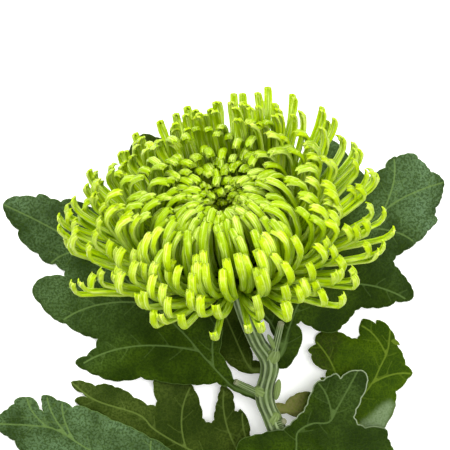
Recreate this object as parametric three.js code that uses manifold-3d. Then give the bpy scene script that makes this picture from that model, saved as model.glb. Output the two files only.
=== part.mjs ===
// A cut spider chrysanthemum lying on a flat surface, in millimetres, +Z up.
// The flower head leans back at the +Y end, the cut end of the stem is at the -Y end, and seven
// lobed leaves spread from the stem. The origin is under the middle of the whole flower.
import * as THREE from "three";
import { mergeVertices } from "three/addons/utils/BufferGeometryUtils.js";
import { TessellateModifier } from "three/addons/modifiers/TessellateModifier.js";
import Module from "manifold-3d";

const wasm = await Module();
wasm.setup();

// Seats: touching pieces keep this much air between them.
const SEAT_GAP = 0.3;

// The places below are measured from a point near the middle of the leaves, and the finished
// flower is moved by this much so that its own middle is over the origin.
const TO_MIDDLE = new THREE.Vector3(1.5, -3.4, 0);

// Flower head. Its receptacle lies at HEAD_CENTRE and it faces along HEAD_AXIS.
const HEAD_CENTRE = new THREE.Vector3(3.4, 59.2, 36);
const HEAD_AXIS = new THREE.Vector3(-0.15, 0.69, 0.707).normalize();
const CORE_RADIUS = 12;
const CORE_HEIGHT = 8;
const CORE_RIM = 1.6;
const CORE_SIDES = 18;

// Florets spiral out from the middle of the core by the golden angle. Of every cycle of them
// only the ones listed are modelled here, chosen so that the farthest and the highest are kept.
const FLORETS = 700;
const FLORET_CYCLE = 28;
const FLORETS_KEPT = [0, 5, 11, 16, 17];
const GOLDEN_ANGLE = THREE.MathUtils.degToRad(137.508);
const DRAW_SEED = 7;
const ROOT_DEPTH = 2;
const FLORET_STEPS = 40;
const FLORET_STATIONS = [0, 10, 20, 30, 34, 37, 40];
const BEND_SHARE = 0.86;

// A floret modelled here stands for several, so it is this much broader than its ring says. Its
// depth is a share of its width, most of it in the keel on the outer side, and the narrowest ones
// are kept thick enough to make.
const FLORET_BREADTH = 1.4;
const FLORET_DEPTH_SHARE = 0.48;
const LEAST_HALF_WIDTH = 0.65;
const KEEL_SHARE = 0.7;

// What a floret is like, by the share of the way out from the middle (0) to the rim (1): its
// length, the rise of its root, how far it bends up and in, and how far its tip curls on, in
// degrees, and its width.
const FLORET_RINGS = [
  { share: 0.0, length: 6, rise: 88, bend: 2, curl: 30, width: 1.2 },
  { share: 0.08, length: 8, rise: 84, bend: 4, curl: 60, width: 1.4 },
  { share: 0.16, length: 12, rise: 80, bend: 8, curl: 60, width: 1.7 },
  { share: 0.27, length: 20.5, rise: 66, bend: 34, curl: 60, width: 2 },
  { share: 0.4, length: 29, rise: 42, bend: 78, curl: 60, width: 2.3 },
  { share: 0.51, length: 38, rise: 18, bend: 108, curl: 60, width: 2.4 },
  { share: 0.6, length: 45.5, rise: 6, bend: 108, curl: 75, width: 2.5 },
  { share: 0.7, length: 50.5, rise: 6, bend: 66, curl: 90, width: 2.5 },
  { share: 0.86, length: 54, rise: 6, bend: 32, curl: 80, width: 2.5 },
  { share: 1.0, length: 54.5, rise: 3, bend: 18, curl: 75, width: 2.4 },
];

// The outer florets rise more at the front and at the back of the head, where they also curl
// less, and are shorter towards three sides. The ways they point are angles about the head.
const FRONT_LIFT = 17;
const FRONT_WAY = THREE.MathUtils.degToRad(238);
const BACK_LIFT = 30;
const BACK_WAY = THREE.MathUtils.degToRad(66);
const BACK_UNCURL = 0.8;
const SIDE_CUTS = [
  { cut: 0.15, way: THREE.MathUtils.degToRad(-15) },
  { cut: 0.13, way: THREE.MathUtils.degToRad(132) },
  { cut: 0.09, way: THREE.MathUtils.degToRad(85) },
];
const OUTER_FROM = 0.6;
const OUTER_FULL = 0.8;

// How much a floret's draws may change it: as angles, or as shares of its own size.
const TURN_SPREAD = 0.24;
const RISE_SPREAD = 12;
const SWAY_SPREAD = 0.5;
const SIZE_SPREAD = 0.14;
const BEND_SPREAD = 0.16;
const OUTER_BEND_SPREAD = 0.4;
const CURL_SPREAD = 0.8;
const LEAST_RISE = 3;

// Cup of bracts under the head. A bract's lean, distance out and height go from the first value
// at the foot of the cup to the second in its top row.
const CUP_DEPTH = 8.6;
const CUP_FOOT_RADIUS = 3.6;
const BRACT_ROWS = 3;
const BRACTS_PER_ROW = 9;
const BRACT_LENGTH = 8;
const BRACT_WIDTH = 4.6;
const BRACT_THICKNESS = 0.9;
const BRACT_LEANS = [40, 62];
const BRACT_RADII = [CUP_FOOT_RADIUS, 0.62 * CORE_RADIUS];
const BRACT_HEIGHTS = [0.6 - CUP_DEPTH, -5.2];

// Stem: its middle line from the cut end up to the cup, its radius, and its ridges.
const STEM_RADIUS = 2.85;
const STEM_RIDGES = 9;
const RIDGE_HEIGHT = 0.22;
const STEM_STEPS = 30;
const STEM_LINE = [
  [10, -112, 3.2],
  [14.5, -92, 3.9],
  [19.5, -68, 5.2],
  [23, -42, 7],
  [24, -20, 8.4],
  [22.4, -8.4, 8.9],
  [18.7, 1, 9.2],
  [15, 11, 9.7],
  [16.9, 22.6, 11],
  [12.4, 30.5, 12.4],
  [8.2, 40.5, 18],
];

// Side shoots cut short on the stem, and the swollen nodes and small buds beside them.
const STUMP_SIDES = 12;
const HOLLOW_FROM = 0.7;
const HOLLOW_TO = 1.1;
const STEM_STUMPS = [
  { from: [18, 25, 12.5], to: [20.8, 37.6, 18.8], radius: 1.1, hollow: 0.5 },
  { from: [14.5, 11.5, 11], to: [4.5, 16.5, 14.5], radius: 1.0, hollow: 0.5 },
  { from: [19, 1, 10.5], to: [22.2, 2.4, 13.4], radius: 1.1, hollow: 0.5 },
];
const STEM_SWELLINGS = [
  { at: [17.8, 25, 12.6], towards: [1, 2, 1], radius: 2.5, length: 3.6 },
  { at: [13.8, 12.5, 11.2], towards: [-2, 1, 1], radius: 2.2, length: 3.2 },
  { at: [18.3, 2.5, 10.4], towards: [1, 2, 1], radius: 2.4, length: 3.4 },
  { at: [19.6, 13.5, 13], towards: [0.3, 2, 0.6], radius: 1.2, length: 4 },
  { at: [17.5, 30.5, 16], towards: [-1, 2, 1], radius: 0.9, length: 3.5 },
];

// Leaves, their blade thickness, the thickness of the midrib where the stalk starts, and how
// finely a blade is divided.
const BLADE_THICKNESS = 0.8;
const STALK_THICKNESS = 2.4;
const STALK_HALF_WIDTH = 1.5;
const BLADE_EDGE = 14;
const MARGIN_STEP = 9;
const MARGIN_BULGE = 0.03;

// Each leaf: its midrib from the stem to the tip with heights, its two margins as lobe tips and
// sinuses from stem to tip, and how far each half falls away from the midrib per millimetre.
const LEAVES = [
  {
    name: "leaf_left",
    colour: 0x3f5a2c,
    midrib: [
      [14.5, 10.5, 9.2], [7.5, 13, 9.4], [3, 15, 9.5], [-7, 25.5, 8.8], [-14, 33.5, 7.8],
      [-27.5, 46, 6.3], [-44, 60.5, 4.2], [-63.5, 72, 2.2], [-79, 79.5, 0.9],
    ],
    left: [
      [2.1, 14.2], [-0.2, 14.7], [-1.9, 15.8], [-11.4, 15], [-24.1, 16.5], [-25.9, 16.3],
      [-29.1, 17.4], [-35.3, 16.1], [-40.2, 16.1], [-44.5, 17.7], [-48.9, 19.6], [-52.9, 22],
      [-52.7, 23.3], [-48.9, 24.8], [-45.4, 27.9], [-44.8, 31], [-47.6, 31.8], [-51.3, 33.1],
      [-56.3, 36.5], [-59.4, 37.5], [-61.8, 39.3], [-65.5, 43.6], [-68.5, 47.7], [-67.4, 51.1],
      [-64.9, 53], [-61.8, 53.7], [-56.9, 53.6], [-56.6, 55.4], [-60, 58], [-62.5, 58],
      [-65.7, 60.3], [-66.2, 61.6], [-70.8, 64.7], [-73.7, 68.5], [-73.3, 70.2], [-76.7, 73.6],
      [-78.2, 76.4],
    ],
    right: [
      [4, 17], [-1, 26.5], [0, 42], [-9.5, 43], [-16.5, 49.5], [-18, 63], [-26.5, 69.5],
      [-36, 65.5], [-44.5, 76.5], [-52.6, 80.7], [-56.3, 81.4], [-58.1, 80.3], [-61.8, 81.5],
      [-65.9, 83.3], [-67.1, 82], [-73, 82.3], [-76.1, 82],
    ],
    fall: [0.2, 0.12],
  },
  {
    name: "leaf_right",
    colour: 0x4a6633,
    midrib: [
      [17.5, 22.5, 11.6], [21.5, 27.5, 12.6], [23.5, 34.5, 12.6], [27.5, 44.5, 11.6],
      [36.5, 57.5, 9.6], [49.5, 70, 7], [62, 80, 4.4], [71, 84.5, 2.6], [80, 87.5, 0.9],
    ],
    left: [
      [20.5, 26], [19.5, 31], [16.5, 37], [12, 43], [18, 51], [20, 62], [24.5, 79], [31, 95],
      [36, 103], [41, 102], [46, 95.5], [52, 88], [58.7, 92.7], [59, 94.3], [61, 96.1],
      [62.2, 96.8], [62.8, 96.4], [65.6, 97.5], [67.9, 97.9], [70, 97.3], [70.6, 95.9], [72, 95],
      [73.9, 92.9], [75.2, 91.1], [77.1, 90.6], [79, 89],
    ],
    right: [
      [23, 21], [27.5, 28], [28.5, 33.5], [26.4, 36.6], [28, 37.8], [31.6, 35.9], [35.7, 33.9],
      [41.2, 34.1], [43, 36.2], [45.8, 38.9], [47.6, 41.4], [49.9, 42.6], [54, 42.4], [58.1, 42.6],
      [60.9, 43.3], [62.3, 44.6], [65.4, 44.4], [68.4, 45.3], [69, 47.2], [68.4, 49.2],
      [66.8, 51.7], [64.5, 54.5], [62, 57.4], [61.4, 59], [62.5, 60.9], [65.4, 62.7], [70, 65.9],
      [72.8, 67.9], [73.9, 69.8], [75.9, 71.6], [77.7, 73.9], [76.6, 75.5], [76.9, 78.2],
      [78.7, 81], [79.2, 82.8], [79.6, 85.3],
    ],
    fall: [0.16, 0.2],
  },
  {
    name: "leaf_behind",
    colour: 0x5f6f2b,
    midrib: [
      [15.5, 21, 9.6], [11.5, 20, 7], [8.5, 23, 4.8], [3.5, 34, 2.4], [-2, 46.5, 1.1],
      [-8, 58.5, 0.4], [-14.5, 72, 0.4], [-20.5, 84.5, 0.4], [-28.5, 105, 0.4],
    ],
    left: [
      [8, 19], [1.5, 23], [-6, 34.5], [-11.5, 45], [-22.5, 58.5], [-25, 72], [-34, 90],
      [-33, 100.5],
    ],
    right: [
      [11, 23.5], [10, 28], [13, 37], [9, 50], [12, 64], [0, 82.5], [-8, 89], [-14, 94],
      [-20, 102],
    ],
    fall: [0.05, 0.05],
  },
  {
    name: "leaf_lower_left_back",
    colour: 0x55612f,
    midrib: [
      [22.5, -18, 7.6], [17, -17.6, 6.4], [4.5, -14.5, 5.6], [-11.5, -8.5, 5.4],
      [-24, -1.5, 4.8], [-30, 4, 4.2], [-45.5, 9, 2.6], [-54.5, 15.5, 0.9],
    ],
    left: [
      [12, -19.5], [-2.5, -21.5], [-12, -17], [-23, -16], [-34.5, -4.5], [-39.5, -1], [-44, 4.5],
      [-52.5, 7.9], [-53.2, 8.8], [-52.1, 10], [-48.5, 10.1], [-50.2, 11.6], [-53.2, 13],
    ],
    right: [
      [13.5, -15], [9.6, -6], [9.7, 0.8], [6.5, 6.1], [5.6, 5], [4.4, 5.3], [4, 9.1], [4, 11.4],
      [-0.2, 14.6], [-0.8, 12.4], [-1.6, 9.1], [-2.9, 2.1], [-3.9, 1], [-5.8, 1.3], [-7.1, 2.8],
      [-8, 7.6], [-9.9, 12.7], [-11.4, 15.1], [-14.4, 16.2], [-17, 17.3], [-19.5, 17.9],
      [-23.1, 17.5], [-24.5, 16.7], [-24.7, 14.3], [-23.4, 8.8], [-23.9, 7.1], [-26.8, 7.3],
      [-31.8, 10.1], [-35.5, 12.8], [-38.5, 13.7], [-40.8, 14.7], [-43.8, 14.7], [-45.7, 14.1],
      [-49.1, 15.4], [-52.5, 16],
    ],
    fall: [0.1, 0.06],
  },
  {
    name: "leaf_lower_left_front",
    colour: 0x36502a,
    midrib: [
      [22, -43, 7], [10, -37.5, 7.8], [-8, -28, 9], [-26, -18.5, 9.2], [-47, -8.5, 8.2],
      [-59, -1.5, 6], [-67.5, 0, 4], [-83, 0.5, 0.9],
    ],
    left: [
      [8.5, -41.5], [-6, -36], [-19.5, -40], [-34.5, -30], [-39.5, -23], [-57.5, -24.5],
      [-64.5, -16], [-73, -9], [-74.7, -5.6], [-77.3, -4.1], [-79.6, -2.8],
    ],
    right: [
      [11, -35], [-6, -21], [-20.5, -6.8], [-25.7, -4.1], [-39.6, 2.3], [-46.8, 5.7], [-52.4, 7.4],
      [-53.6, 6.6], [-57.7, 8.9], [-59.2, 9.2], [-63.4, 11.1], [-64.9, 10.6], [-64.7, 7.9],
      [-64.1, 4.9], [-65.6, 5.9], [-67.9, 9.8], [-70.7, 10.2], [-74.7, 9.1], [-74.8, 7.7],
      [-77.3, 5.7], [-79.6, 4.2],
    ],
    fall: [0.22, 0.08],
  },
  {
    name: "leaf_lower_right_front",
    colour: 0x3d5a2c,
    midrib: [
      [24.2, -33, 6.5], [24.6, -28, 9.8], [25.3, -20, 13.2], [26.3, -7, 14.8], [26.8, -1.5, 14.4],
      [32, 1.5, 13.6], [38, 2, 12.8], [41, 7, 12], [45, 14, 11], [48.5, 20.3, 10],
    ],
    left: [
      [20, -26], [14, -22], [8, -16], [5, -9], [6.3, -4.5], [14, -2.2], [21.5, -0.6], [24, 1.2],
      [26.2, 3.4], [28.9, 5.9], [30.2, 8.4], [32, 12.9], [34, 16.5], [36, 16.7], [38.6, 18.3],
      [40.7, 19.2], [42.2, 17.4], [44, 19.2],
    ],
    right: [
      [28, -29], [36, -27], [47, -30], [58, -27], [65, -20], [61.5, -10], [60.3, -6.6], [59, -4],
      [59, -1.3], [56.8, -0.2], [51, -0.2], [48.3, 1.1], [47, 3.6], [47.8, 6.3], [49.6, 10.3],
      [51.7, 15.3], [51.9, 17.9], [50.5, 20],
    ],
    fall: [0.1, 0.16],
  },
  {
    name: "leaf_right_back",
    colour: 0x7c9a2e,
    midrib: [
      [17.5, 6.5, 8.6], [21, 6.2, 7.2], [31.5, 4.5, 5.5], [42.5, 5.5, 4.2], [49.5, 10, 3.6],
      [54, 15.5, 3.3], [56.5, 20.5, 2.9], [59.5, 27, 2.1], [60.5, 34.5, 0.9],
    ],
    left: [
      [22.5, 8], [23.4, 9.6], [25.7, 11], [28.4, 12.1], [32.1, 11.9], [36.4, 15.5], [35.1, 17.2],
      [37.1, 17.2], [37.6, 19.9], [34.6, 21], [32.1, 23.8], [32.1, 25.6], [30.7, 27.1],
      [33.7, 29.1], [33.5, 31.6], [34.8, 33.1], [39, 33.8], [42.1, 33.4], [44.9, 32], [46.7, 31.1],
      [48.6, 31.1], [49.6, 32.3], [49.7, 36.4], [50.8, 38.3], [55.4, 36.4], [55.6, 37.8],
      [57.7, 37.3],
    ],
    right: [
      [23, 4.6], [29.5, 3], [44.5, -3.5], [56.5, -3], [62, 6], [62.3, 8.5], [62.3, 12.1],
      [66.8, 16.7], [68.6, 18.8], [65.9, 21.7], [65.2, 24.5], [63.6, 27.7], [60.9, 30.2],
      [64.1, 28.7], [62.3, 30.9],
    ],
    fall: [0.07, 0.08],
  },
];

// A repeatable draw between 0 and 1 for one floret and one property of it.
function draw(floret, property) {
  const wave = Math.sin(floret * 12.9898 + property * 78.233 + DRAW_SEED) * 43758.5453;
  return wave - Math.floor(wave);
}

// A closed geometry as a solid that can be joined and cut.
function solidOf(geometry) {
  const bare = new THREE.BufferGeometry();
  bare.setAttribute("position", geometry.getAttribute("position"));
  bare.setIndex(geometry.index);
  const merged = mergeVertices(bare, 1e-4);
  return new wasm.Manifold(
    new wasm.Mesh({
      numProp: 3,
      vertProperties: merged.attributes.position.array,
      triVerts: new Uint32Array(merged.index.array),
    }),
  );
}

// The largest body of a solid, with any pocket sealed inside it filled.
function mainBody(solid) {
  return solid.decompose().reduce((a, b) => (b.volume() > a.volume() ? b : a));
}

// A solid as a named mesh with its own material.
function meshOf(name, solid, colour, roughness) {
  const { vertProperties, triVerts } = mainBody(solid).getMesh();
  const geometry = new THREE.BufferGeometry();
  geometry.setAttribute("position", new THREE.BufferAttribute(new Float32Array(vertProperties), 3));
  geometry.setIndex(new THREE.BufferAttribute(new Uint32Array(triVerts), 1));
  geometry.computeVertexNormals();
  const material = new THREE.MeshStandardMaterial({ color: colour, roughness, metalness: 0 });
  const mesh = new THREE.Mesh(geometry, material);
  mesh.name = name;
  return mesh;
}

// A closed skin over rings of points that all have the same number of points.
function loft(rings) {
  const sides = rings[0].length;
  const points = rings.flat();
  const faces = [];
  for (let ring = 0; ring + 1 < rings.length; ring++) {
    for (let side = 0; side < sides; side++) {
      const a = ring * sides + side;
      const b = ring * sides + ((side + 1) % sides);
      faces.push(a, b + sides, b, a, a + sides, b + sides);
    }
  }
  const last = (rings.length - 1) * sides;
  for (let side = 1; side + 1 < sides; side++) {
    faces.push(0, side, side + 1, last, last + side + 1, last + side);
  }
  return new THREE.BufferGeometry().setFromPoints(points).setIndex(faces);
}

// The floret sizes at a share of the way out, between the rings that they are stated for.
function ringAt(share) {
  const upper = FLORET_RINGS.findIndex((ring) => ring.share >= share);
  const high = FLORET_RINGS[Math.max(upper, 1)];
  const low = FLORET_RINGS[Math.max(upper, 1) - 1];
  const mix = (share - low.share) / (high.share - low.share);
  const between = (key) => THREE.MathUtils.lerp(low[key], high[key], mix);
  return {
    length: between("length"),
    rise: between("rise"),
    bend: between("bend"),
    curl: between("curl"),
    width: between("width"),
  };
}

// How closely an outer floret's azimuth points one way, from 0 to 1.
function towards(azimuth, way, sharpness) {
  return Math.max(0, Math.cos(azimuth - way)) ** sharpness;
}

// One floret's own sizes: the ring's, changed a little by its draws and by which way it points.
function floretPlan(index) {
  const share = (index + 0.5) / FLORETS;
  const ring = ringAt(share);
  const spread = (property, amount) => (draw(index, property) - 0.5) * amount;
  const azimuth = index * GOLDEN_ANGLE + spread(0, TURN_SPREAD);
  const outer = THREE.MathUtils.smoothstep(share, OUTER_FROM, OUTER_FULL);
  const back = outer * towards(azimuth, BACK_WAY, 3);
  const lift = outer * towards(azimuth, FRONT_WAY, 1) * FRONT_LIFT + back * BACK_LIFT;
  const cuts = SIDE_CUTS.map(({ cut, way }) => outer * cut * towards(azimuth, way, 3));
  const reach = cuts.reduce((left, cut) => left - cut, 1);
  return {
    share,
    azimuth,
    length: ring.length * reach * (1 + spread(1, SIZE_SPREAD)),
    rise: Math.max(LEAST_RISE, ring.rise + lift + spread(2, RISE_SPREAD)),
    bend: ring.bend * (1 + spread(3, THREE.MathUtils.lerp(BEND_SPREAD, OUTER_BEND_SPREAD, outer))),
    curl: ring.curl * (1 - back * BACK_UNCURL) * (1 + spread(4, CURL_SPREAD)),
    sway: spread(5, SWAY_SPREAD),
    width: ring.width * (1 + spread(6, SIZE_SPREAD)),
  };
}

// A floret: a narrow keeled tube whose middle line rises, bends over the head and curls.
function floret(index) {
  const plan = floretPlan(index);
  const root = CORE_RADIUS * Math.sqrt(plan.share);
  const height = CORE_RIM + (CORE_HEIGHT - CORE_RIM) * (1 - plan.share);
  const step = plan.length / FLORET_STEPS;
  const place = new THREE.Vector3();
  const rings = [];
  for (let i = 0; i <= FLORET_STEPS; i++) {
    const along = i / FLORET_STEPS;
    const turn = plan.azimuth + plan.sway * along;
    const bent = plan.bend * Math.min(1, along / BEND_SHARE);
    const curled = plan.curl * Math.max(0, (along - BEND_SHARE) / (1 - BEND_SHARE));
    const lean = THREE.MathUtils.degToRad(plan.rise + bent + curled);
    const out = new THREE.Vector3(Math.cos(turn), Math.sin(turn), 0);
    const up = new THREE.Vector3(0, 0, 1);
    const tangent = out.clone().multiplyScalar(Math.cos(lean)).addScaledVector(up, Math.sin(lean));
    const inner = out.clone().multiplyScalar(-Math.sin(lean)).addScaledVector(up, Math.cos(lean));
    const side = new THREE.Vector3().crossVectors(tangent, inner);
    if (i === 0) place.copy(out).multiplyScalar(root).setZ(height).addScaledVector(tangent, -ROOT_DEPTH);
    else place.addScaledVector(tangent, step + (i === 1 ? ROOT_DEPTH : 0));
    if (!FLORET_STATIONS.includes(i)) continue;
    const half = Math.max(LEAST_HALF_WIDTH, 0.5 * plan.width * FLORET_BREADTH * floretTaper(along));
    const depth = 2 * half * FLORET_DEPTH_SHARE;
    rings.push([
      place.clone().addScaledVector(side, half).addScaledVector(inner, (1 - KEEL_SHARE) * depth),
      place.clone().addScaledVector(side, -half).addScaledVector(inner, (1 - KEEL_SHARE) * depth),
      place.clone().addScaledVector(inner, -KEEL_SHARE * depth),
    ]);
  }
  return solidOf(loft(rings));
}

// How wide a floret is along its length: a narrow tube at the root, and a broader, blunt end.
function floretTaper(along) {
  const root = 0.5 + 0.5 * THREE.MathUtils.smoothstep(along, -0.15, 0.4);
  const flare = 0.28 * THREE.MathUtils.smoothstep(along, 0.8, 0.95);
  return root * (1 + flare - 0.2 * THREE.MathUtils.smoothstep(along, 0.95, 1));
}

// The domed middle that all the florets are rooted in.
function core() {
  const profile = [new THREE.Vector2(0, 0), new THREE.Vector2(CORE_RADIUS, 0)];
  for (let i = 0; i <= 4; i++) {
    const radius = CORE_RADIUS * (1 - i / 4);
    const height = CORE_RIM + (CORE_HEIGHT - CORE_RIM) * (1 - (radius / CORE_RADIUS) ** 2);
    profile.push(new THREE.Vector2(radius, height));
  }
  return solidOf(new THREE.LatheGeometry(profile, CORE_SIDES).rotateX(Math.PI / 2));
}

// The flower head: the core with the modelled florets joined to it.
function bloom() {
  let solid = core();
  for (let i = 0; i < FLORETS; i++) {
    if (FLORETS_KEPT.includes(i % FLORET_CYCLE)) solid = solid.add(floret(i));
  }
  return meshOf("bloom", solid, 0xb4d638, 0.55);
}

// The cup of overlapping green bracts that the head sits in.
function involucre() {
  const profile = [
    new THREE.Vector2(0, -CUP_DEPTH),
    new THREE.Vector2(CUP_FOOT_RADIUS, -CUP_DEPTH),
    new THREE.Vector2(0.66 * CORE_RADIUS, -0.7 * CUP_DEPTH),
    new THREE.Vector2(0.95 * CORE_RADIUS, -0.35 * CUP_DEPTH),
    new THREE.Vector2(CORE_RADIUS + 0.6, -SEAT_GAP),
    new THREE.Vector2(0, -SEAT_GAP),
  ];
  let solid = solidOf(new THREE.LatheGeometry(profile, CORE_SIDES).rotateX(Math.PI / 2));
  for (let row = 0; row < BRACT_ROWS; row++) {
    for (let i = 0; i < BRACTS_PER_ROW; i++) {
      const turn = ((i + 0.5 * row) / BRACTS_PER_ROW) * 2 * Math.PI;
      solid = solid.add(bract(turn, row / (BRACT_ROWS - 1)));
    }
  }
  return meshOf("involucre", solid, 0x6f8a3c, 0.7);
}

// A pointed bract lying up the outside of the cup, at a share of the way up it.
function bract(turn, share) {
  const blade = new THREE.ConeGeometry(BRACT_WIDTH / 2, BRACT_LENGTH, 6);
  blade.scale(1, 1, BRACT_THICKNESS / BRACT_WIDTH);
  blade.rotateX(Math.PI / 2);
  blade.translate(0, 0, BRACT_LENGTH / 2);
  blade.rotateX(THREE.MathUtils.degToRad(-THREE.MathUtils.lerp(...BRACT_LEANS, share)));
  const radius = THREE.MathUtils.lerp(...BRACT_RADII, share);
  blade.translate(0, radius, THREE.MathUtils.lerp(...BRACT_HEIGHTS, share));
  return solidOf(blade.rotateZ(turn));
}

// The stem's middle line, ended square under the cup.
function stemCurve() {
  const points = STEM_LINE.map((p) => new THREE.Vector3(...p));
  for (const below of [CUP_DEPTH + 7, CUP_DEPTH + SEAT_GAP]) {
    points.push(HEAD_CENTRE.clone().addScaledVector(HEAD_AXIS, -below));
  }
  return new THREE.CatmullRomCurve3(points);
}

// The stem's tube, ridged along its length.
function stemTube(margin) {
  const corners = [];
  for (let i = 0; i < 2 * STEM_RIDGES; i++) {
    const radius = STEM_RADIUS + margin + (i % 2 === 0 ? RIDGE_HEIGHT : -RIDGE_HEIGHT);
    const turn = (i / (2 * STEM_RIDGES)) * 2 * Math.PI;
    corners.push(new THREE.Vector2(radius * Math.cos(turn), radius * Math.sin(turn)));
  }
  const options = { steps: STEM_STEPS, bevelEnabled: false, extrudePath: stemCurve() };
  return solidOf(new THREE.ExtrudeGeometry(new THREE.Shape(corners), options));
}

// A short tube from one place to another, open at its far end like a cut hollow shoot.
function stump({ from, to, radius, hollow }, margin) {
  const line = new THREE.LineCurve3(new THREE.Vector3(...from), new THREE.Vector3(...to));
  const ring = new THREE.Shape().absarc(0, 0, radius + margin, 0, 2 * Math.PI);
  const bore = new THREE.Shape().absarc(0, 0, radius * hollow, 0, 2 * Math.PI);
  const options = { steps: 1, bevelEnabled: false, curveSegments: STUMP_SIDES / 2, extrudePath: line };
  const outside = solidOf(new THREE.ExtrudeGeometry(ring, options));
  if (margin > 0) return outside;
  const open = line.clone();
  open.v1 = line.getPoint(HOLLOW_FROM);
  open.v2 = line.getPoint(HOLLOW_TO);
  return outside.subtract(solidOf(new THREE.ExtrudeGeometry(bore, { ...options, extrudePath: open })));
}

// A smooth swelling or bud: a ball stretched along one direction.
function swelling({ at, towards, radius, length }, margin) {
  const ball = new THREE.SphereGeometry(1, 10, 6);
  ball.scale(radius + margin, length + margin, radius + margin);
  const turn = new THREE.Quaternion().setFromUnitVectors(
    new THREE.Vector3(0, 1, 0),
    new THREE.Vector3(...towards).normalize(),
  );
  return solidOf(ball.applyQuaternion(turn).translate(...at));
}

// The stem with its swollen nodes, its buds and the cut stumps of its side shoots, all grown by
// a margin.
function stemSolid(margin) {
  let solid = stemTube(margin);
  for (const piece of STEM_STUMPS) solid = solid.add(stump(piece, margin));
  for (const piece of STEM_SWELLINGS) solid = solid.add(swelling(piece, margin));
  return solid;
}

// A margin with the straight runs between its lobe tips and sinuses bulged and toothed.
function toothedMargin(corners, outward) {
  const points = [];
  for (let i = 0; i + 1 < corners.length; i++) {
    const from = corners[i];
    const run = corners[i + 1].clone().sub(from);
    const out = new THREE.Vector2(run.y, -run.x).multiplyScalar(outward);
    const parts = Math.max(1, Math.round(run.length() / MARGIN_STEP));
    for (let part = 0; part < parts; part++) {
      const share = part / parts;
      const bulge = MARGIN_BULGE * 4 * share * (1 - share);
      points.push(from.clone().addScaledVector(run, share).addScaledVector(out, bulge));
    }
  }
  return points;
}

// Where a point lies against a midrib: the midrib's height there, the distance from it, and the
// share of the way along it.
function againstMidrib(midrib, x, y) {
  const point = new THREE.Vector2(x, y);
  let best = { distance: Infinity };
  for (let i = 0; i + 1 < midrib.length; i++) {
    const from = new THREE.Vector2(midrib[i][0], midrib[i][1]);
    const run = new THREE.Vector2(midrib[i + 1][0], midrib[i + 1][1]).sub(from);
    const share = THREE.MathUtils.clamp(point.clone().sub(from).dot(run) / run.lengthSq(), 0, 1);
    const distance = point.distanceTo(from.addScaledVector(run, share));
    if (distance >= best.distance) continue;
    best = {
      distance,
      height: THREE.MathUtils.lerp(midrib[i][2], midrib[i + 1][2], share),
      along: (i + share) / (midrib.length - 1),
    };
  }
  return best;
}

// One half of a blade as flat triangles between the midrib and one margin.
function halfBlade(leaf, corners, outward) {
  const midrib = leaf.midrib.map(([x, y]) => new THREE.Vector2(x, y));
  const run = midrib[1].clone().sub(midrib[0]).normalize();
  const beside = new THREE.Vector2(run.y, -run.x).multiplyScalar(outward * STALK_HALF_WIDTH);
  const start = midrib[0].clone().add(beside);
  const margin = [start, ...corners.map(([x, y]) => new THREE.Vector2(x, y)), midrib.at(-1)];
  const outline = [...midrib, ...toothedMargin(margin, outward).reverse()];
  const flat = new THREE.ShapeGeometry(new THREE.Shape(outline));
  return new TessellateModifier(BLADE_EDGE, 8).modify(flat.toNonIndexed());
}

// A closed blade: both halves lifted to the leaf's form, with the same triangles on the upper
// and the lower face, and a thick midrib that goes on as the stalk.
function bladeSolid(leaf) {
  const halves = [halfBlade(leaf, leaf.left, -1), halfBlade(leaf, leaf.right, 1)];
  const flat = new THREE.BufferGeometry();
  const places = halves.flatMap((half) => [...half.getAttribute("position").array]);
  flat.setAttribute("position", new THREE.Float32BufferAttribute(places, 3));
  const merged = mergeVertices(flat, 1e-3);
  const index = [...merged.index.array];
  const count = merged.attributes.position.count;
  const upper = [];
  const lower = [];
  for (let i = 0; i < count; i++) {
    const x = merged.attributes.position.getX(i);
    const y = merged.attributes.position.getY(i);
    const { distance, height, along } = againstMidrib(leaf.midrib, x, y);
    const side = sideOf(leaf, x, y);
    const lift = height - leaf.fall[side] * distance;
    const middle = Math.max(BLADE_THICKNESS / 2, lift);
    const rib = distance < 0.01 ? (STALK_THICKNESS - BLADE_THICKNESS) * (1 - along) ** 2 : 0;
    upper.push(new THREE.Vector3(x, y, middle + (BLADE_THICKNESS + rib) / 2));
    lower.push(new THREE.Vector3(x, y, Math.max(0, middle - (BLADE_THICKNESS + rib) / 2)));
  }
  const faces = [];
  const edges = new Map();
  for (let i = 0; i < index.length; i += 3) {
    const [a, b, c] = index.slice(i, i + 3);
    faces.push(a, b, c, count + a, count + c, count + b);
    for (const [from, to] of [[a, b], [b, c], [c, a]]) {
      if (!edges.delete(to + "_" + from)) edges.set(from + "_" + to, [from, to]);
    }
  }
  for (const [from, to] of edges.values()) {
    faces.push(from, count + from, count + to, from, count + to, to);
  }
  return solidOf(new THREE.BufferGeometry().setFromPoints([...upper, ...lower]).setIndex(faces));
}

// 0 on the left half of a leaf as it is seen from the stem towards its tip, 1 on the right.
function sideOf(leaf, x, y) {
  let nearest = Infinity;
  let side = 0;
  for (let i = 0; i + 1 < leaf.midrib.length; i++) {
    const [ax, ay] = leaf.midrib[i];
    const [bx, by] = leaf.midrib[i + 1];
    const distance = Math.hypot((ax + bx) / 2 - x, (ay + by) / 2 - y);
    if (distance >= nearest) continue;
    nearest = distance;
    side = (bx - ax) * (y - ay) - (by - ay) * (x - ax) > 0 ? 0 : 1;
  }
  return side;
}

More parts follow.
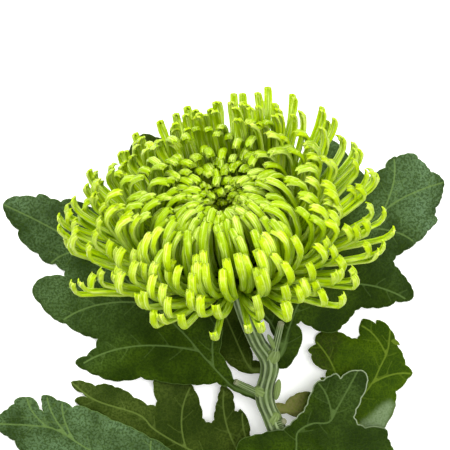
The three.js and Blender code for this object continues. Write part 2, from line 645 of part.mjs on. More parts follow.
const flower = new THREE.Group();
flower.position.copy(TO_MIDDLE);
const head = new THREE.Group();
const across = new THREE.Vector3(1, 0, 0).addScaledVector(HEAD_AXIS, -HEAD_AXIS.x).normalize();
const upwards = new THREE.Vector3().crossVectors(HEAD_AXIS, across);
head.quaternion.setFromRotationMatrix(new THREE.Matrix4().makeBasis(across, upwards, HEAD_AXIS));
head.position.copy(HEAD_CENTRE);
head.add(bloom(), involucre());
flower.add(head, meshOf("stem", stemSolid(0), 0x7f9358, 0.6));
const grownStem = stemSolid(SEAT_GAP);
for (const leaf of LEAVES) {
  flower.add(meshOf(leaf.name, bladeSolid(leaf).subtract(grownStem), leaf.colour, 0.6));
}

export default flower;
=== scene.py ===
import math

import bpy
import numpy as np
from mathutils import Matrix, Vector
from mathutils.geometry import delaunay_2d_cdt


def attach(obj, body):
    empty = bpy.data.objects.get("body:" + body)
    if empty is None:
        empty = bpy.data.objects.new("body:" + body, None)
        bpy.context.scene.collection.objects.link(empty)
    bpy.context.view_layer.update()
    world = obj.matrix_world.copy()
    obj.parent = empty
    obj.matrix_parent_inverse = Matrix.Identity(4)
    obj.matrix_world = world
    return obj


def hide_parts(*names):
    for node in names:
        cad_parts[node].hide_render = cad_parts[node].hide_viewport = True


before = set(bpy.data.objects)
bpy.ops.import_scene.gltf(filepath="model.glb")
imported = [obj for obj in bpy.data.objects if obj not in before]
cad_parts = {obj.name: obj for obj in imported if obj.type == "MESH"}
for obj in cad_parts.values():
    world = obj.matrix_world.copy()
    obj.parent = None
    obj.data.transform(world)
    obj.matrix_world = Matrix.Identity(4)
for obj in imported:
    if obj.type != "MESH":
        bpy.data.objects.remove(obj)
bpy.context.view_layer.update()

# The view: the flower lies on a pale table and is seen from straight above, from a little under
# a metre, under soft studio light that comes mostly from beyond its head.
MM = 0.001
# Places are measured from a point beside the stem. This moves the flower's middle to zero.
TO_MIDDLE = Vector((1.5, -3.4, 0)) * MM
VIEW_OVER = Vector((0.001, 0.072, 0)) + TO_MIDDLE
VIEW_HEIGHT = 0.9
FOCAL_PIXELS = 2496.6
PICTURE_PIXELS = 450
SENSOR_WIDTH = 36
WHITE = (1, 1, 1, 1)
STUDIO_GLOW = 0.45
TABLE_HALF = 3.0
TABLE_COLOUR = (0.93, 0.93, 0.93, 1)
TABLE_ROUGHNESS = 0.8
TABLE_GLOW = 0.3

view = bpy.data.cameras.new("camera")
view.sensor_width = SENSOR_WIDTH
view.lens = FOCAL_PIXELS / PICTURE_PIXELS * SENSOR_WIDTH
camera = bpy.data.objects.new("camera", view)
camera.location = (VIEW_OVER.x, VIEW_OVER.y, VIEW_HEIGHT)
bpy.context.scene.collection.objects.link(camera)
bpy.context.scene.camera = camera
bpy.context.scene.view_settings.view_transform = "Standard"

world = bpy.data.worlds.new("studio")
world.use_nodes = True
backdrop = world.node_tree.nodes["Background"]
backdrop.inputs["Color"].default_value = WHITE
backdrop.inputs["Strength"].default_value = STUDIO_GLOW
bpy.context.scene.world = world


def soft_light(name, place, aim, size, power):
    """A square studio light panel."""
    panel = bpy.data.lights.new(name, "AREA")
    panel.size = size
    panel.energy = power
    lamp = bpy.data.objects.new(name, panel)
    lamp.location = place
    lamp.rotation_euler = (Vector(aim) - Vector(place)).to_track_quat("-Z", "Y").to_euler()
    bpy.context.scene.collection.objects.link(lamp)


def new_finish(name, values):
    """A material with the given values on its shader: also its tree and its shader."""
    material = bpy.data.materials.new(name)
    material.use_nodes = True
    shader = material.node_tree.nodes["Principled BSDF"]
    for label, value in values.items():
        shader.inputs[label].default_value = value
    return material, material.node_tree, shader


soft_light("key_panel", (-0.3, 0.7, 0.9), aim=(0, 0.04, 0.03), size=0.5, power=14)
soft_light("top_panel", (0.35, 0.0, 1.1), aim=(0, 0, 0), size=0.8, power=11)

table_corners = [(x * TABLE_HALF, y * TABLE_HALF, 0) for x, y in ((-1, -1), (1, -1), (1, 1), (-1, 1))]
table_mesh = bpy.data.meshes.new("table")
table_mesh.from_pydata(table_corners, [], [(0, 1, 2, 3)])
table_mesh.materials.append(new_finish("table_paint", {
    "Base Color": TABLE_COLOUR, "Roughness": TABLE_ROUGHNESS, "Emission Color": WHITE,
    "Emission Strength": TABLE_GLOW,
})[0])
table = bpy.data.objects.new("table", table_mesh)
bpy.context.scene.collection.objects.link(table)

# The stem: a green stalk about 6 mm thick with pale ribs along it, cut square at the bottom. It
# bends at each node where a leaf grew, and its side shoots were pinched out to short stumps.
HEAD_CENTRE = Vector((3.4, 59.2, 36)) * MM
HEAD_AXIS = Vector((-0.15, 0.69, 0.707)).normalized()
CUP_DEPTH = 8.6 * MM
SEAT_GAP = 0.3 * MM
NECK_LENGTH = 7 * MM
STEM_RADIUS = 2.85 * MM
STEM_LINE = [
    (10, -112, 3.2), (14.5, -92, 3.9), (19.5, -68, 5.2), (23, -42, 7), (24, -20, 8.4),
    (22.4, -8.4, 8.9), (18.7, 1, 9.2), (15, 11, 9.7), (16.9, 22.6, 11), (12.4, 30.5, 12.4),
    (8.2, 40.5, 18),
]
STEM_NODES = [(23, -42, 7), (24, -20, 8.4), (18.7, 1, 9.2), (15, 11, 9.7), (16.9, 22.6, 11)]
CURVE_STEPS = 8
NODE_SWELL = 0.16
NODE_REACH = 5 * MM
STUMPS = [
    ((18, 25, 12.5), (20.8, 37.6, 18.8), 1.1),
    ((14.5, 11.5, 11), (4.5, 16.5, 14.5), 1.0),
    ((19, 1, 10.5), (22.2, 2.4, 13.4), 1.1),
]
STUMP_STEPS = 6
STUMP_FLARE = 0.25
BUDS = [
    ((17.8, 25, 12.6), (1, 2, 1), 2.5, 3.6),
    ((13.8, 12.5, 11.2), (-2, 1, 1), 2.2, 3.2),
    ((18.3, 2.5, 10.4), (1, 2, 1), 2.4, 3.4),
    ((19.6, 13.5, 13), (0.3, 2, 0.6), 1.2, 4),
    ((17.5, 30.5, 16), (-1, 2, 1), 0.9, 3.5),
]
BUD_SHARES = [-0.98, -0.85, -0.6, -0.3, 0, 0.3, 0.6, 0.85, 0.98]
STEM_RIBS = 9
RIB_HEIGHT = 0.07
POINTS_PER_RIB = 6
STEM_SHADES = {
    "between ribs": (0.05, 0.08, 0.02),
    "rib": (0.29, 0.37, 0.18),
    "patch": (0.14, 0.22, 0.05),
    "bud": (0.19, 0.27, 0.07),
    "pith": (0.25, 0.26, 0.15),
}
GRAIN_DETAIL = 3


def smooth_line(points, steps):
    """Points along a Catmull-Rom curve through the given places."""
    places = [Vector(p) for p in points]
    padded = [2 * places[0] - places[1], *places, 2 * places[-1] - places[-2]]
    line = []
    for a, b, c, d in zip(padded, padded[1:], padded[2:], padded[3:]):
        for i in range(steps):
            t = i / steps
            line.append(
                0.5 * (2 * b + (c - a) * t + (2 * a - 5 * b + 4 * c - d) * t**2
                       + (3 * b - a - 3 * c + d) * t**3)
            )
    return [*line, places[-1]]


def line_mesh(name, lines, values):
    """A wire mesh of separate lines, with one named value, or vector, for each point."""
    mesh = bpy.data.meshes.new(name)
    edges, start = [], 0
    for line in lines:
        edges += [(start + i, start + i + 1) for i in range(len(line) - 1)]
        start += len(line)
    mesh.from_pydata([p for line in lines for p in line], edges, [])
    for key, data in values.items():
        data = np.asarray(data, dtype=np.float32)
        vector = data.ndim == 2
        layer = mesh.attributes.new(key, "FLOAT_VECTOR" if vector else "FLOAT", "POINT")
        layer.data.foreach_set("vector" if vector else "value", data.ravel())
    return mesh


def feed(tree, socket, value):
    """Gives an input a link from another socket, or else a plain value or colour."""
    if isinstance(value, bpy.types.NodeSocket):
        tree.links.new(value, socket)
    else:
        socket.default_value = (*value, 1) if socket.type == "RGBA" else value


def add_node(tree, kind, inputs=None, **settings):
    """A new node with the given settings, and a link or value for each of the given inputs."""
    node = tree.nodes.new(kind)
    for key, setting in settings.items():
        setattr(node, key, setting)
    for key, value in (inputs or {}).items():
        feed(tree, node.inputs[key], value)
    return node


def reckon(tree, operation, *values):
    """One step of arithmetic on sockets and plain numbers, in either kind of tree."""
    return add_node(tree, "ShaderNodeMath", dict(enumerate(values)), operation=operation).outputs[0]


def product(tree, *values):
    """Several sockets or numbers multiplied together."""
    total = values[0]
    for value in values[1:]:
        total = reckon(tree, "MULTIPLY", total, value)
    return total


def scaled(tree, vector, amount):
    """A vector made longer or shorter."""
    return add_node(tree, "ShaderNodeVectorMath", {0: vector, "Scale": amount},
                    operation="SCALE").outputs[0]


def start_tree(name, kind, inputs, outputs):
    """A node tree with named inputs and outputs, and the sockets that stand for them inside."""
    tree = bpy.data.node_groups.new(name, kind)
    for in_out, sockets in (("INPUT", inputs), ("OUTPUT", outputs)):
        for label, socket in sockets.items():
            tree.interface.new_socket(name=label, in_out=in_out, socket_type="NodeSocket" + socket)
    return tree, tree.nodes.new("NodeGroupInput").outputs, tree.nodes.new("NodeGroupOutput").inputs


def sweep_tree(name, numbers):
    """A geometry tree that turns lines into a skin, with a named input for each number."""
    return start_tree(name, "GeometryNodeTree",
                      {"Geometry": "Geometry", **numbers, "Material": "Material"},
                      {"Geometry": "Geometry"})


def named_value(tree, key, kind="FLOAT"):
    """One of the values stored on a line's points."""
    return add_node(tree, "GeometryNodeInputNamedAttribute", {"Name": key},
                    data_type=kind).outputs["Attribute"]


def unit_ring(tree, points):
    """A round section of radius 1, and the position of each of its points."""
    ring = add_node(tree, "GeometryNodeCurvePrimitiveCircle", {"Radius": 1, "Resolution": points})
    return ring.outputs[0], tree.nodes.new("GeometryNodeInputPosition").outputs[0]


def moved(tree, geometry, **to):
    """A geometry with its points set to a Position or shifted by an Offset."""
    return add_node(tree, "GeometryNodeSetPosition", {"Geometry": geometry, **to}).outputs[0]


def capture(tree, geometry, values):
    """Keeps values of a section's points, so that the swept skin can still read them."""
    node = tree.nodes.new("GeometryNodeCaptureAttribute")
    for key in values:
        node.capture_items.new("FLOAT", key)
    for number, value in enumerate([geometry, *values.values()]):
        feed(tree, node.inputs[number], value)
    return node.outputs


def swept(tree, curves, section, size):
    """The closed skin of a section carried along curves, as large as their stored size."""
    return add_node(tree, "GeometryNodeCurveToMesh", {
        "Curve": curves, "Profile Curve": section, "Scale": named_value(tree, size),
        "Fill Caps": True,
    }).outputs[0]


def finish_sweep(tree, geometry, stored, given, result):
    """Ends a sweep: stores its kept values and gives real, smooth geometry its material."""
    for key, value in stored.items():
        geometry = add_node(tree, "GeometryNodeStoreNamedAttribute",
                            {"Geometry": geometry, "Name": key, "Value": value}).outputs[0]
    smooth = add_node(tree, "GeometryNodeSetShadeSmooth", {"Geometry": geometry})
    real = add_node(tree, "GeometryNodeRealizeInstances", {"Geometry": smooth.outputs[0]})
    paint = add_node(tree, "GeometryNodeSetMaterial",
                     {"Geometry": real.outputs[0], "Material": given["Material"]})
    feed(tree, result["Geometry"], paint.outputs[0])
    return tree


def grown(name, wire, tree, inputs):
    """The plain mesh that a geometry tree makes of a wire mesh."""
    holder = bpy.data.objects.new(name, wire)
    bpy.context.scene.collection.objects.link(holder)
    modifier = holder.modifiers.new(name, "NODES")
    modifier.node_group = tree
    sockets = {s.name: s.identifier for s in tree.interface.items_tree if s.in_out == "INPUT"}
    for label, value in inputs.items():
        modifier[sockets[label]] = value
    seen = holder.evaluated_get(bpy.context.evaluated_depsgraph_get())
    mesh = bpy.data.meshes.new_from_object(seen)
    holder.modifiers.remove(modifier)
    bpy.data.objects.remove(holder)
    mesh.name = name
    return mesh


def hand_over(name, mesh, slot, *nodes):
    """A finished piece in its place, riding with the flower and standing for its solids."""
    mesh.transform(Matrix.Translation(TO_MIDDLE))
    piece = bpy.data.objects.new(name, mesh)
    bpy.context.scene.collection.objects.link(piece)
    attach(piece, "root")
    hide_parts(*nodes)


def stalk_tree():
    """Sweeps a ribbed round section along each line, and smooths the ribs on young buds."""
    tree, given, result = sweep_tree("ribbed_stalk", {
        "Ribs": "Int", "Rib height": "Float", "Points per rib": "Int",
    })
    ring, place = unit_ring(tree, product(tree, given["Ribs"], given["Points per rib"]))
    around = tree.nodes.new("GeometryNodeSplineParameter").outputs["Factor"]
    wave = reckon(tree, "COSINE", product(tree, around, given["Ribs"], 2 * math.pi))
    swell = reckon(tree, "ADD", product(tree, wave, given["Rib height"]), 1)
    ribbed = moved(tree, ring, Position=scaled(tree, place, swell))
    kept = capture(tree, ribbed, {"rib": wave})
    curves = add_node(tree, "GeometryNodeMeshToCurve", {"Mesh": given["Geometry"]}).outputs[0]
    skin = swept(tree, curves, kept[0], "radius")
    flat = product(tree, kept[1], named_value(tree, "young"), given["Rib height"],
                   named_value(tree, "radius"), -1)
    outwards = tree.nodes.new("GeometryNodeInputNormal").outputs[0]
    smoothed = moved(tree, skin, Offset=scaled(tree, outwards, flat))
    return finish_sweep(tree, smoothed, {"rib": kept[1]}, given, result)


def stem_lines():
    """The stem, its stumps and its buds as lines, with the radius at each of their points."""
    top = [(HEAD_CENTRE - HEAD_AXIS * (CUP_DEPTH + d)) / MM for d in (NECK_LENGTH, SEAT_GAP)]
    main = [p * MM for p in smooth_line([*STEM_LINE, *top], CURVE_STEPS)]
    nodes = [Vector(p) * MM for p in STEM_NODES]
    radii = []
    for point in main:
        near = min((point - node).length for node in nodes) / NODE_REACH
        radii.append(STEM_RADIUS * (1 + NODE_SWELL * math.exp(-near * near)))
    lines, thickness, ends = [main], [radii], [[0.0] * len(main)]
    for start, end, radius in STUMPS:
        shares = [i / STUMP_STEPS for i in range(STUMP_STEPS + 1)]
        lines.append([Vector(start).lerp(Vector(end), s) * MM for s in shares])
        thickness.append([radius * MM * (1 + STUMP_FLARE - STUMP_FLARE * s) for s in shares])
        ends.append([0.0] * STUMP_STEPS + [1.0])
    for place, towards, radius, length in BUDS:
        way = Vector(towards).normalized()
        lines.append([(Vector(place) + way * length * s) * MM for s in BUD_SHARES])
        thickness.append([radius * MM * math.sqrt(1 - s * s) for s in BUD_SHARES])
        ends.append([0.0] * len(BUD_SHARES))
    young = [float(n > len(STUMPS)) for n, line in enumerate(lines) for _ in line]
    return lines, np.concatenate(thickness), np.concatenate(ends), young


def noise_node(tree, scale, detail, place):
    """A Noise texture on the given coordinates."""
    return add_node(tree, "ShaderNodeTexNoise",
                    {"Scale": scale, "Detail": detail, "Vector": place}).outputs["Fac"]


def surface_value(tree, key):
    """A value stored on the piece's own surface."""
    return add_node(tree, "ShaderNodeAttribute", attribute_name=key).outputs["Fac"]


def remap(tree, value, low, high, to_low=0.0, to_high=1.0):
    """A smooth step of a value from one range to another."""
    return add_node(tree, "ShaderNodeMapRange", {
        "Value": value, "From Min": low, "From Max": high, "To Min": to_low, "To Max": to_high,
    }, interpolation_type="SMOOTHSTEP").outputs["Result"]


def blend_colours(tree, amount, first, second):
    """A blend of two colours or colour sockets."""
    node = add_node(tree, "ShaderNodeMix", {"Factor": amount}, data_type="RGBA")
    for socket, colour in zip([s for s in node.inputs if s.type == "RGBA"], (first, second)):
        feed(tree, socket, colour)
    return next(s for s in node.outputs if s.type == "RGBA")


def layered(tree, colour, *layers):
    """A colour with further ones laid over it in turn, each by its own amount."""
    for amount, over in layers:
        colour = blend_colours(tree, amount, colour, over)
    return colour


def skin_group():
    """The mottling and the fine grain of a grown skin, shared by all the flower's materials."""
    tree, given, result = start_tree(
        "grown_skin", "ShaderNodeTree",
        {"Place": "Vector", "Mottle scale": "Float", "Mottle detail": "Float",
         "Grain scale": "Float"},
        {"Mottle": "Float", "Grain": "Float"},
    )
    feed(tree, result["Mottle"],
         noise_node(tree, given["Mottle scale"], given["Mottle detail"], given["Place"]))
    feed(tree, result["Grain"], noise_node(tree, given["Grain scale"], GRAIN_DETAIL, given["Place"]))
    return tree


grown_skin = skin_group()


def grown_finish(name, values, mottle, grain):
    """A material of grown skin: also its tree, shader, Object coordinates, mottle and grain."""
    material, tree, shader = new_finish(name, values)
    place = tree.nodes.new("ShaderNodeTexCoord").outputs["Object"]
    skin = add_node(tree, "ShaderNodeGroup", {
        "Place": place, "Mottle scale": mottle[0], "Mottle detail": mottle[1],
        "Grain scale": grain,
    }, node_tree=grown_skin).outputs
    return material, tree, shader, place, skin["Mottle"], skin["Grain"]


def dress(tree, shader, colour, height, strength, distance):
    """Gives a shader its colour, and its relief through a Bump node."""
    feed(tree, shader.inputs["Base Color"], colour)
    bump = add_node(tree, "ShaderNodeBump",
                    {"Strength": strength, "Distance": distance, "Height": height})
    feed(tree, shader.inputs["Normal"], bump.outputs["Normal"])


def stem_finish():
    """Grey-green skin, paler on the ribs and mottled, fresher on buds, with pith on cut ends."""
    material, tree, shader, place, mottle, grain = grown_finish(
        "stem_skin", {"Roughness": 0.5, "Specular IOR Level": 0.25}, mottle=(320, 4), grain=1500)
    worn = product(tree, noise_node(tree, 170, 3, place), 1.4)
    ribs = remap(tree, reckon(tree, "ADD", surface_value(tree, "rib"), worn), 0.2, 1.8)
    budding = product(tree, surface_value(tree, "young"), remap(tree, mottle, 0.3, 0.65, 0.6, 0.95))
    skin = blend_colours(tree, ribs, STEM_SHADES["between ribs"], STEM_SHADES["rib"])
    colour = layered(
        tree, skin,
        (remap(tree, mottle, 0.35, 0.7, 0, 0.5), STEM_SHADES["patch"]),
        (budding, STEM_SHADES["bud"]),
        (surface_value(tree, "cut_end"), STEM_SHADES["pith"]),
    )
    dress(tree, shader, colour, grain, strength=0.25, distance=0.0003)
    return material


stem_wire, stem_radii, stem_ends, stem_buds = stem_lines()
stem_values = {"radius": stem_radii, "cut_end": stem_ends, "young": stem_buds}
stem_mesh = grown("stem_stalk", line_mesh("stem_wire", stem_wire, stem_values), stalk_tree(), {
    "Ribs": STEM_RIBS, "Rib height": RIB_HEIGHT, "Points per rib": POINTS_PER_RIB,
    "Material": stem_finish(),
})
hand_over("stem_stalk", stem_mesh, "stem", "stem")

# The flower head: several hundred narrow tubular florets, each grooved along its inner side and
# split into blunt teeth at the end. They spiral out from one domed base; the inner ones arch in
# over the heart and the outer ones reach out and hook back. Rooted in the base, not glued.
CORE_RADIUS = 12 * MM
CORE_HEIGHT = 8 * MM
CORE_RIM = 1.6 * MM
FLORETS = 700
GOLDEN_ANGLE = math.radians(137.508)
TURN, LENGTH, RISE, BEND, CURL, SWAY, WIDTH, TONE = range(8)
DRAW_SEED = 7
DRAW_FLORET, DRAW_PROPERTY, DRAW_SCATTER = 12.9898, 78.233, 43758.5453
ROOT_DEPTH = 2 * MM
FLORET_STEPS = 40
FLORET_STATIONS = [0, 7, 14, 21, 27, 32, 35, 37, 39, 40]
BEND_SHARE = 0.86
ROOT_WIDTH, ROOT_WIDENS = 0.5, (-0.15, 0.4)
END_FLARE, END_FLARES = 0.28, (0.8, 0.95)
END_CLOSING, END_CLOSES = 0.2, (0.95, 1)
FLORET_RINGS = [
    # share out, length, rise, bend, curl, width
    (0.0, 6, 88, 2, 30, 1.2),
    (0.08, 8, 84, 4, 60, 1.4),
    (0.16, 12, 80, 8, 60, 1.7),
    (0.27, 20.5, 66, 34, 60, 2),
    (0.4, 29, 42, 78, 60, 2.3),
    (0.51, 38, 18, 108, 60, 2.4),
    (0.6, 45.5, 6, 108, 75, 2.5),
    (0.7, 50.5, 6, 66, 90, 2.5),
    (0.86, 54, 6, 32, 80, 2.5),
    (1.0, 54.5, 3, 18, 75, 2.4),
]
FRONT_LIFT, FRONT_WAY = 17, math.radians(238)
BACK_LIFT, BACK_WAY = 30, math.radians(66)
SIDE_CUTS = [(0.15, math.radians(-15)), (0.13, math.radians(132)), (0.09, math.radians(85))]
BACK_UNCURL = 0.8
OUTER_FROM, OUTER_FULL = 0.6, 0.8
TURN_SPREAD, RISE_SPREAD, SWAY_SPREAD = 0.24, 12, 0.5
SIZE_SPREAD, BEND_SPREAD, OUTER_BEND_SPREAD, CURL_SPREAD = 0.14, 0.16, 0.4, 0.8
LEAST_RISE = 3
FLORET_FORM = {"Depth": 0.62, "Shaft depth": 0.2, "Groove": 0.3, "End groove": 0.5, "Teeth": 0.6}
OPENS, SPLITS = (0.72, 0.95), (0.92, 1.0)
TEETH_CURL_IN = -0.25
HEAD_PIECES = {
    # part of the spiral, deepest and palest tone, points round a floret's section; the tone is random
    # between the two, with darker ranges for the inner pieces as painted shade and a paler one at the
    # rim as painted light
    "bloom_heart": ((0, 0.34), (1, 0.4), 8),
    "bloom_middle": ((0.34, 0.68), (1, 0.6), 8),
    "bloom_rim": ((0.68, 1.01), (0.25, 0), 10),
}
PETAL_SHADES = {
    # The darker colours at the roots and in the grooves are painted shade; the two palest, on crests and
    # claws, are painted highlight, the crests partly paler ridges.
    "root": (0.3, 0.44, 0.003),
    "shaft": (0.36, 0.53, 0.001),
    "end": (0.42, 0.57, 0.003),
    "edge": (0.42, 0.55, 0.01),
    "deep": (0.2, 0.34, 0.001),
    "groove": (0.12, 0.22, 0.001),
    "crest_highlight": (0.7, 0.8, 0.24),
    "claw_highlight": (0.7, 0.8, 0.18),
}


def draw(floret, prop):
    """A repeatable draw between 0 and 1 for one floret and one property of it."""
    wave = math.sin(floret * DRAW_FLORET + prop * DRAW_PROPERTY + DRAW_SEED) * DRAW_SCATTER
    return wave - math.floor(wave)


def spread(floret, prop, width):
    """A draw to either side of nothing, over the given width."""
    return (draw(floret, prop) - 0.5) * width


def step_up(value, low, high):
    """0 below low, 1 above high, and a smooth step between."""
    t = min(1, max(0, (value - low) / (high - low)))
    return t * t * (3 - 2 * t)


def floret_plan(index):
    """One floret's own sizes: its ring's, changed by its draws and by the way it points."""
    share = (index + 0.5) / FLORETS
    columns = list(zip(*FLORET_RINGS))
    length, rise, bend, curl, width = (
        float(np.interp(share, columns[0], column)) for column in columns[1:]
    )
    turn = index * GOLDEN_ANGLE + spread(index, TURN, TURN_SPREAD)
    outer = step_up(share, OUTER_FROM, OUTER_FULL)
    front = outer * max(0, math.cos(turn - FRONT_WAY))
    back = outer * max(0, math.cos(turn - BACK_WAY)) ** 3
    cut = outer * sum(c * max(0, math.cos(turn - way)) ** 3 for c, way in SIDE_CUTS)
    lift = front * FRONT_LIFT + back * BACK_LIFT
    curl *= 1 - back * BACK_UNCURL
    bend_spread = BEND_SPREAD + outer * (OUTER_BEND_SPREAD - BEND_SPREAD)
    return {
        "share": share,
        "turn": turn,
        "length": length * MM * (1 - cut) * (1 + spread(index, LENGTH, SIZE_SPREAD)),
        "rise": max(LEAST_RISE, rise + lift + spread(index, RISE, RISE_SPREAD)),
        "bend": bend * (1 + spread(index, BEND, bend_spread)),
        "curl": curl * (1 + spread(index, CURL, CURL_SPREAD)),
        "sway": spread(index, SWAY, SWAY_SPREAD),
        "width": width * MM * (1 + spread(index, WIDTH, SIZE_SPREAD)),
    }


def floret_line(index):
    """A floret's middle line in the head's own frame, with its sizes and ways at each point."""
    plan = floret_plan(index)
    step = plan["length"] / FLORET_STEPS
    height = CORE_RIM + (CORE_HEIGHT - CORE_RIM) * (1 - plan["share"])
    rows = []
    place = None
    for i in range(FLORET_STEPS + 1):
        along = i / FLORET_STEPS
        turn = plan["turn"] + plan["sway"] * along
        bent = plan["bend"] * min(1, along / BEND_SHARE)
        curled = plan["curl"] * max(0, (along - BEND_SHARE) / (1 - BEND_SHARE))
        lean = math.radians(plan["rise"] + bent + curled)
        out = Vector((math.cos(turn), math.sin(turn), 0))
        tangent = out * math.cos(lean) + Vector((0, 0, math.sin(lean)))
        inner = -out * math.sin(lean) + Vector((0, 0, math.cos(lean)))
        if place is None:
            root = out * CORE_RADIUS * math.sqrt(plan["share"])
            place = root + Vector((0, 0, height)) - tangent * ROOT_DEPTH
        else:
            place = place + tangent * (step + (ROOT_DEPTH if i == 1 else 0))
        if i not in FLORET_STATIONS:
            continue
        root_grow = ROOT_WIDTH + (1 - ROOT_WIDTH) * step_up(along, *ROOT_WIDENS)
        flared = 1 + END_FLARE * step_up(along, *END_FLARES)
        tip_grow = flared - END_CLOSING * step_up(along, *END_CLOSES)
        rows.append((place.copy(), 0.5 * plan["width"] * root_grow * tip_grow, along, inner, tangent))
    return rows


def ramp(tree, value, low, high):
    """A value's climb from 0 at low to 1 at high, in a geometry tree."""
    climb = product(tree, reckon(tree, "SUBTRACT", value, low), 1 / (high - low))
    return reckon(tree, "MINIMUM", reckon(tree, "MAXIMUM", climb, 0), 1)


def floret_tree():
    """Sweeps a bean-shaped section along each line: groove inside, ribs outside, split end."""
    tree, given, result = sweep_tree("floret_sweep", {
        "Section points": "Int", **{label: "Float" for label in FLORET_FORM},
    })
    ring, place = unit_ring(tree, given["Section points"])
    face, lateral, _ = add_node(tree, "ShaderNodeSeparateXYZ", {0: place}).outputs
    middle = reckon(tree, "SUBTRACT", 1, product(tree, lateral, lateral))
    hollow = product(tree, middle, middle, reckon(tree, "MAXIMUM", face, 0))
    dished = reckon(tree, "SUBTRACT", product(tree, face, given["Depth"]),
                    product(tree, hollow, given["Groove"]))
    kept = capture(tree, ring, {"face": face, "lateral": lateral, "hollow": hollow})
    bean = add_node(tree, "ShaderNodeCombineXYZ", {"X": dished, "Y": lateral}).outputs[0]
    section = moved(tree, kept[0], Position=bean)
    curves = add_node(tree, "GeometryNodeMeshToCurve", {"Mesh": given["Geometry"]}).outputs[0]
    facing = add_node(tree, "GeometryNodeSetCurveNormal", {
        "Curve": curves, "Normal": named_value(tree, "inner", "FLOAT_VECTOR"),
    }, mode="FREE").outputs[0]
    skin = swept(tree, facing, section, "half_width")

    along = named_value(tree, "along")
    half = named_value(tree, "half_width")
    opened = ramp(tree, along, *OPENS)
    at_end = ramp(tree, along, *SPLITS)
    closed = reckon(tree, "SUBTRACT", 1, opened)
    plump = product(tree, kept["face"], closed, given["Shaft depth"])
    sink = product(tree, kept["hollow"], opened, given["End groove"])
    teeth = reckon(tree, "COSINE", product(tree, kept["lateral"], 2 * math.pi))
    split = product(tree, teeth, at_end, given["Teeth"])
    curled_in = product(tree, reckon(tree, "SUBTRACT", 1, teeth), at_end, TEETH_CURL_IN)
    inward = reckon(tree, "ADD", reckon(tree, "SUBTRACT", plump, sink), curled_in)
    shifts = [scaled(tree, named_value(tree, way, "FLOAT_VECTOR"), product(tree, amount, half))
              for amount, way in ((inward, "inner"), (split, "tangent"))]
    shift = add_node(tree, "ShaderNodeVectorMath", dict(enumerate(shifts)), operation="ADD")
    shaped = moved(tree, skin, Offset=shift.outputs[0])
    stored = {"face": kept["face"], "lateral": kept["lateral"]}
    return finish_sweep(tree, shaped, stored, given, result)


def petal_finish():
    """Satin yellow-green skin: roots and grooves darkened as painted shade, paler edges, pale flecks on
    the claws as painted highlight, and pale streaks on the crests that are partly paler ridges and
    partly painted highlight.
    """
    material, tree, shader, place, knobs, grain = grown_finish("petal_skin", {
        "Roughness": 0.3, "Specular IOR Level": 0.08, "Subsurface Weight": 0.1,
        "Subsurface Scale": 0.0015, "Subsurface Radius": (0.6, 1.0, 0.1),
    }, mottle=(520, 2), grain=900)
    along, lateral, face, tone = (
        surface_value(tree, key) for key in ("along", "lateral", "face", "tone")
    )
    aside = reckon(tree, "ABSOLUTE", lateral)
    ridges = reckon(tree, "COSINE", product(tree, lateral, 12))
    lengthwise = add_node(tree, "ShaderNodeCombineXYZ", {
        "X": product(tree, lateral, 1.6), "Y": product(tree, along, 5),
        "Z": product(tree, tone, 60),
    }).outputs[0]
    # Noise that places the painted highlight streaks along the crests.
    highlight_noise = noise_node(tree, 1, 2, lengthwise)
    # Painted shade in the groove of the inner face.
    painted_groove_shade = product(tree, remap(tree, face, 0.3, 1.0), remap(tree, aside, 0.1, 0.7, 0.5, 0))
    crest_highlight = product(tree, remap(tree, along, 0.3, 0.55), remap(tree, highlight_noise, 0.47, 0.62))
    highlight_streaks = product(tree, crest_highlight, remap(tree, ridges, -0.6, 1.0, 0.15, 0.6))
    # Painted highlight flecks on the claws.
    claw_highlights = product(tree, remap(tree, along, 0.86, 0.97), remap(tree, knobs, 0.52, 0.66, 0, 0.35))
    # Darker at the roots as painted shade among the florets.
    body = blend_colours(tree, remap(tree, along, 0.05, 0.6), PETAL_SHADES["root"],
                         PETAL_SHADES["shaft"])
    colour = layered(
        tree, body,
        (remap(tree, along, 0.75, 1.0, 0, 0.6), PETAL_SHADES["end"]),
        (remap(tree, aside, 0.6, 1.0, 0, 0.4), PETAL_SHADES["edge"]),
        # Random tone per floret, in ranges darker for the inner pieces as painted shade and paler at the
        # rim as painted light.
        (remap(tree, tone, 0, 1, 0, 0.7), PETAL_SHADES["deep"]),
        (painted_groove_shade, PETAL_SHADES["groove"]),
        (highlight_streaks, PETAL_SHADES["crest_highlight"]),
        (claw_highlights, PETAL_SHADES["claw_highlight"]),
    )
    dress(tree, shader, colour, reckon(tree, "ADD", ridges, grain), strength=0.35, distance=0.0002)
    return material


def head_frame():
    """The way from the head's own frame, which faces +Z, to the flower's."""
    across = (Vector((1, 0, 0)) - HEAD_AXIS * HEAD_AXIS.x).normalized()
    upwards = HEAD_AXIS.cross(across)
    return Matrix((across, upwards, HEAD_AXIS)).transposed().to_4x4()


floret_maker = floret_tree()
petal_skin = petal_finish()
head_turn = head_frame()
for piece_name, ((low, high), (deepest, palest), section_points) in HEAD_PIECES.items():
    lines, halves, alongs, inners, tangents, tones = [], [], [], [], [], []
    for i in range(FLORETS):
        if not low <= (i + 0.5) / FLORETS < high:
            continue
        rows = floret_line(i)
        lines.append([HEAD_CENTRE + head_turn @ row[0] for row in rows])
        halves += [row[1] for row in rows]
        alongs += [row[2] for row in rows]
        inners += [head_turn @ row[3] for row in rows]
        tangents += [head_turn @ row[4] for row in rows]
        tones += [palest + (deepest - palest) * draw(i, TONE)] * len(rows)
    wire = line_mesh(piece_name + "_wire", lines, {
        "half_width": halves, "along": alongs, "inner": inners, "tangent": tangents,
        "tone": tones,
    })
    mesh = grown(piece_name, wire, floret_maker, {
        **FLORET_FORM, "Section points": section_points, "Material": petal_skin,
    })
    hand_over(piece_name, mesh, "petal", "bloom")

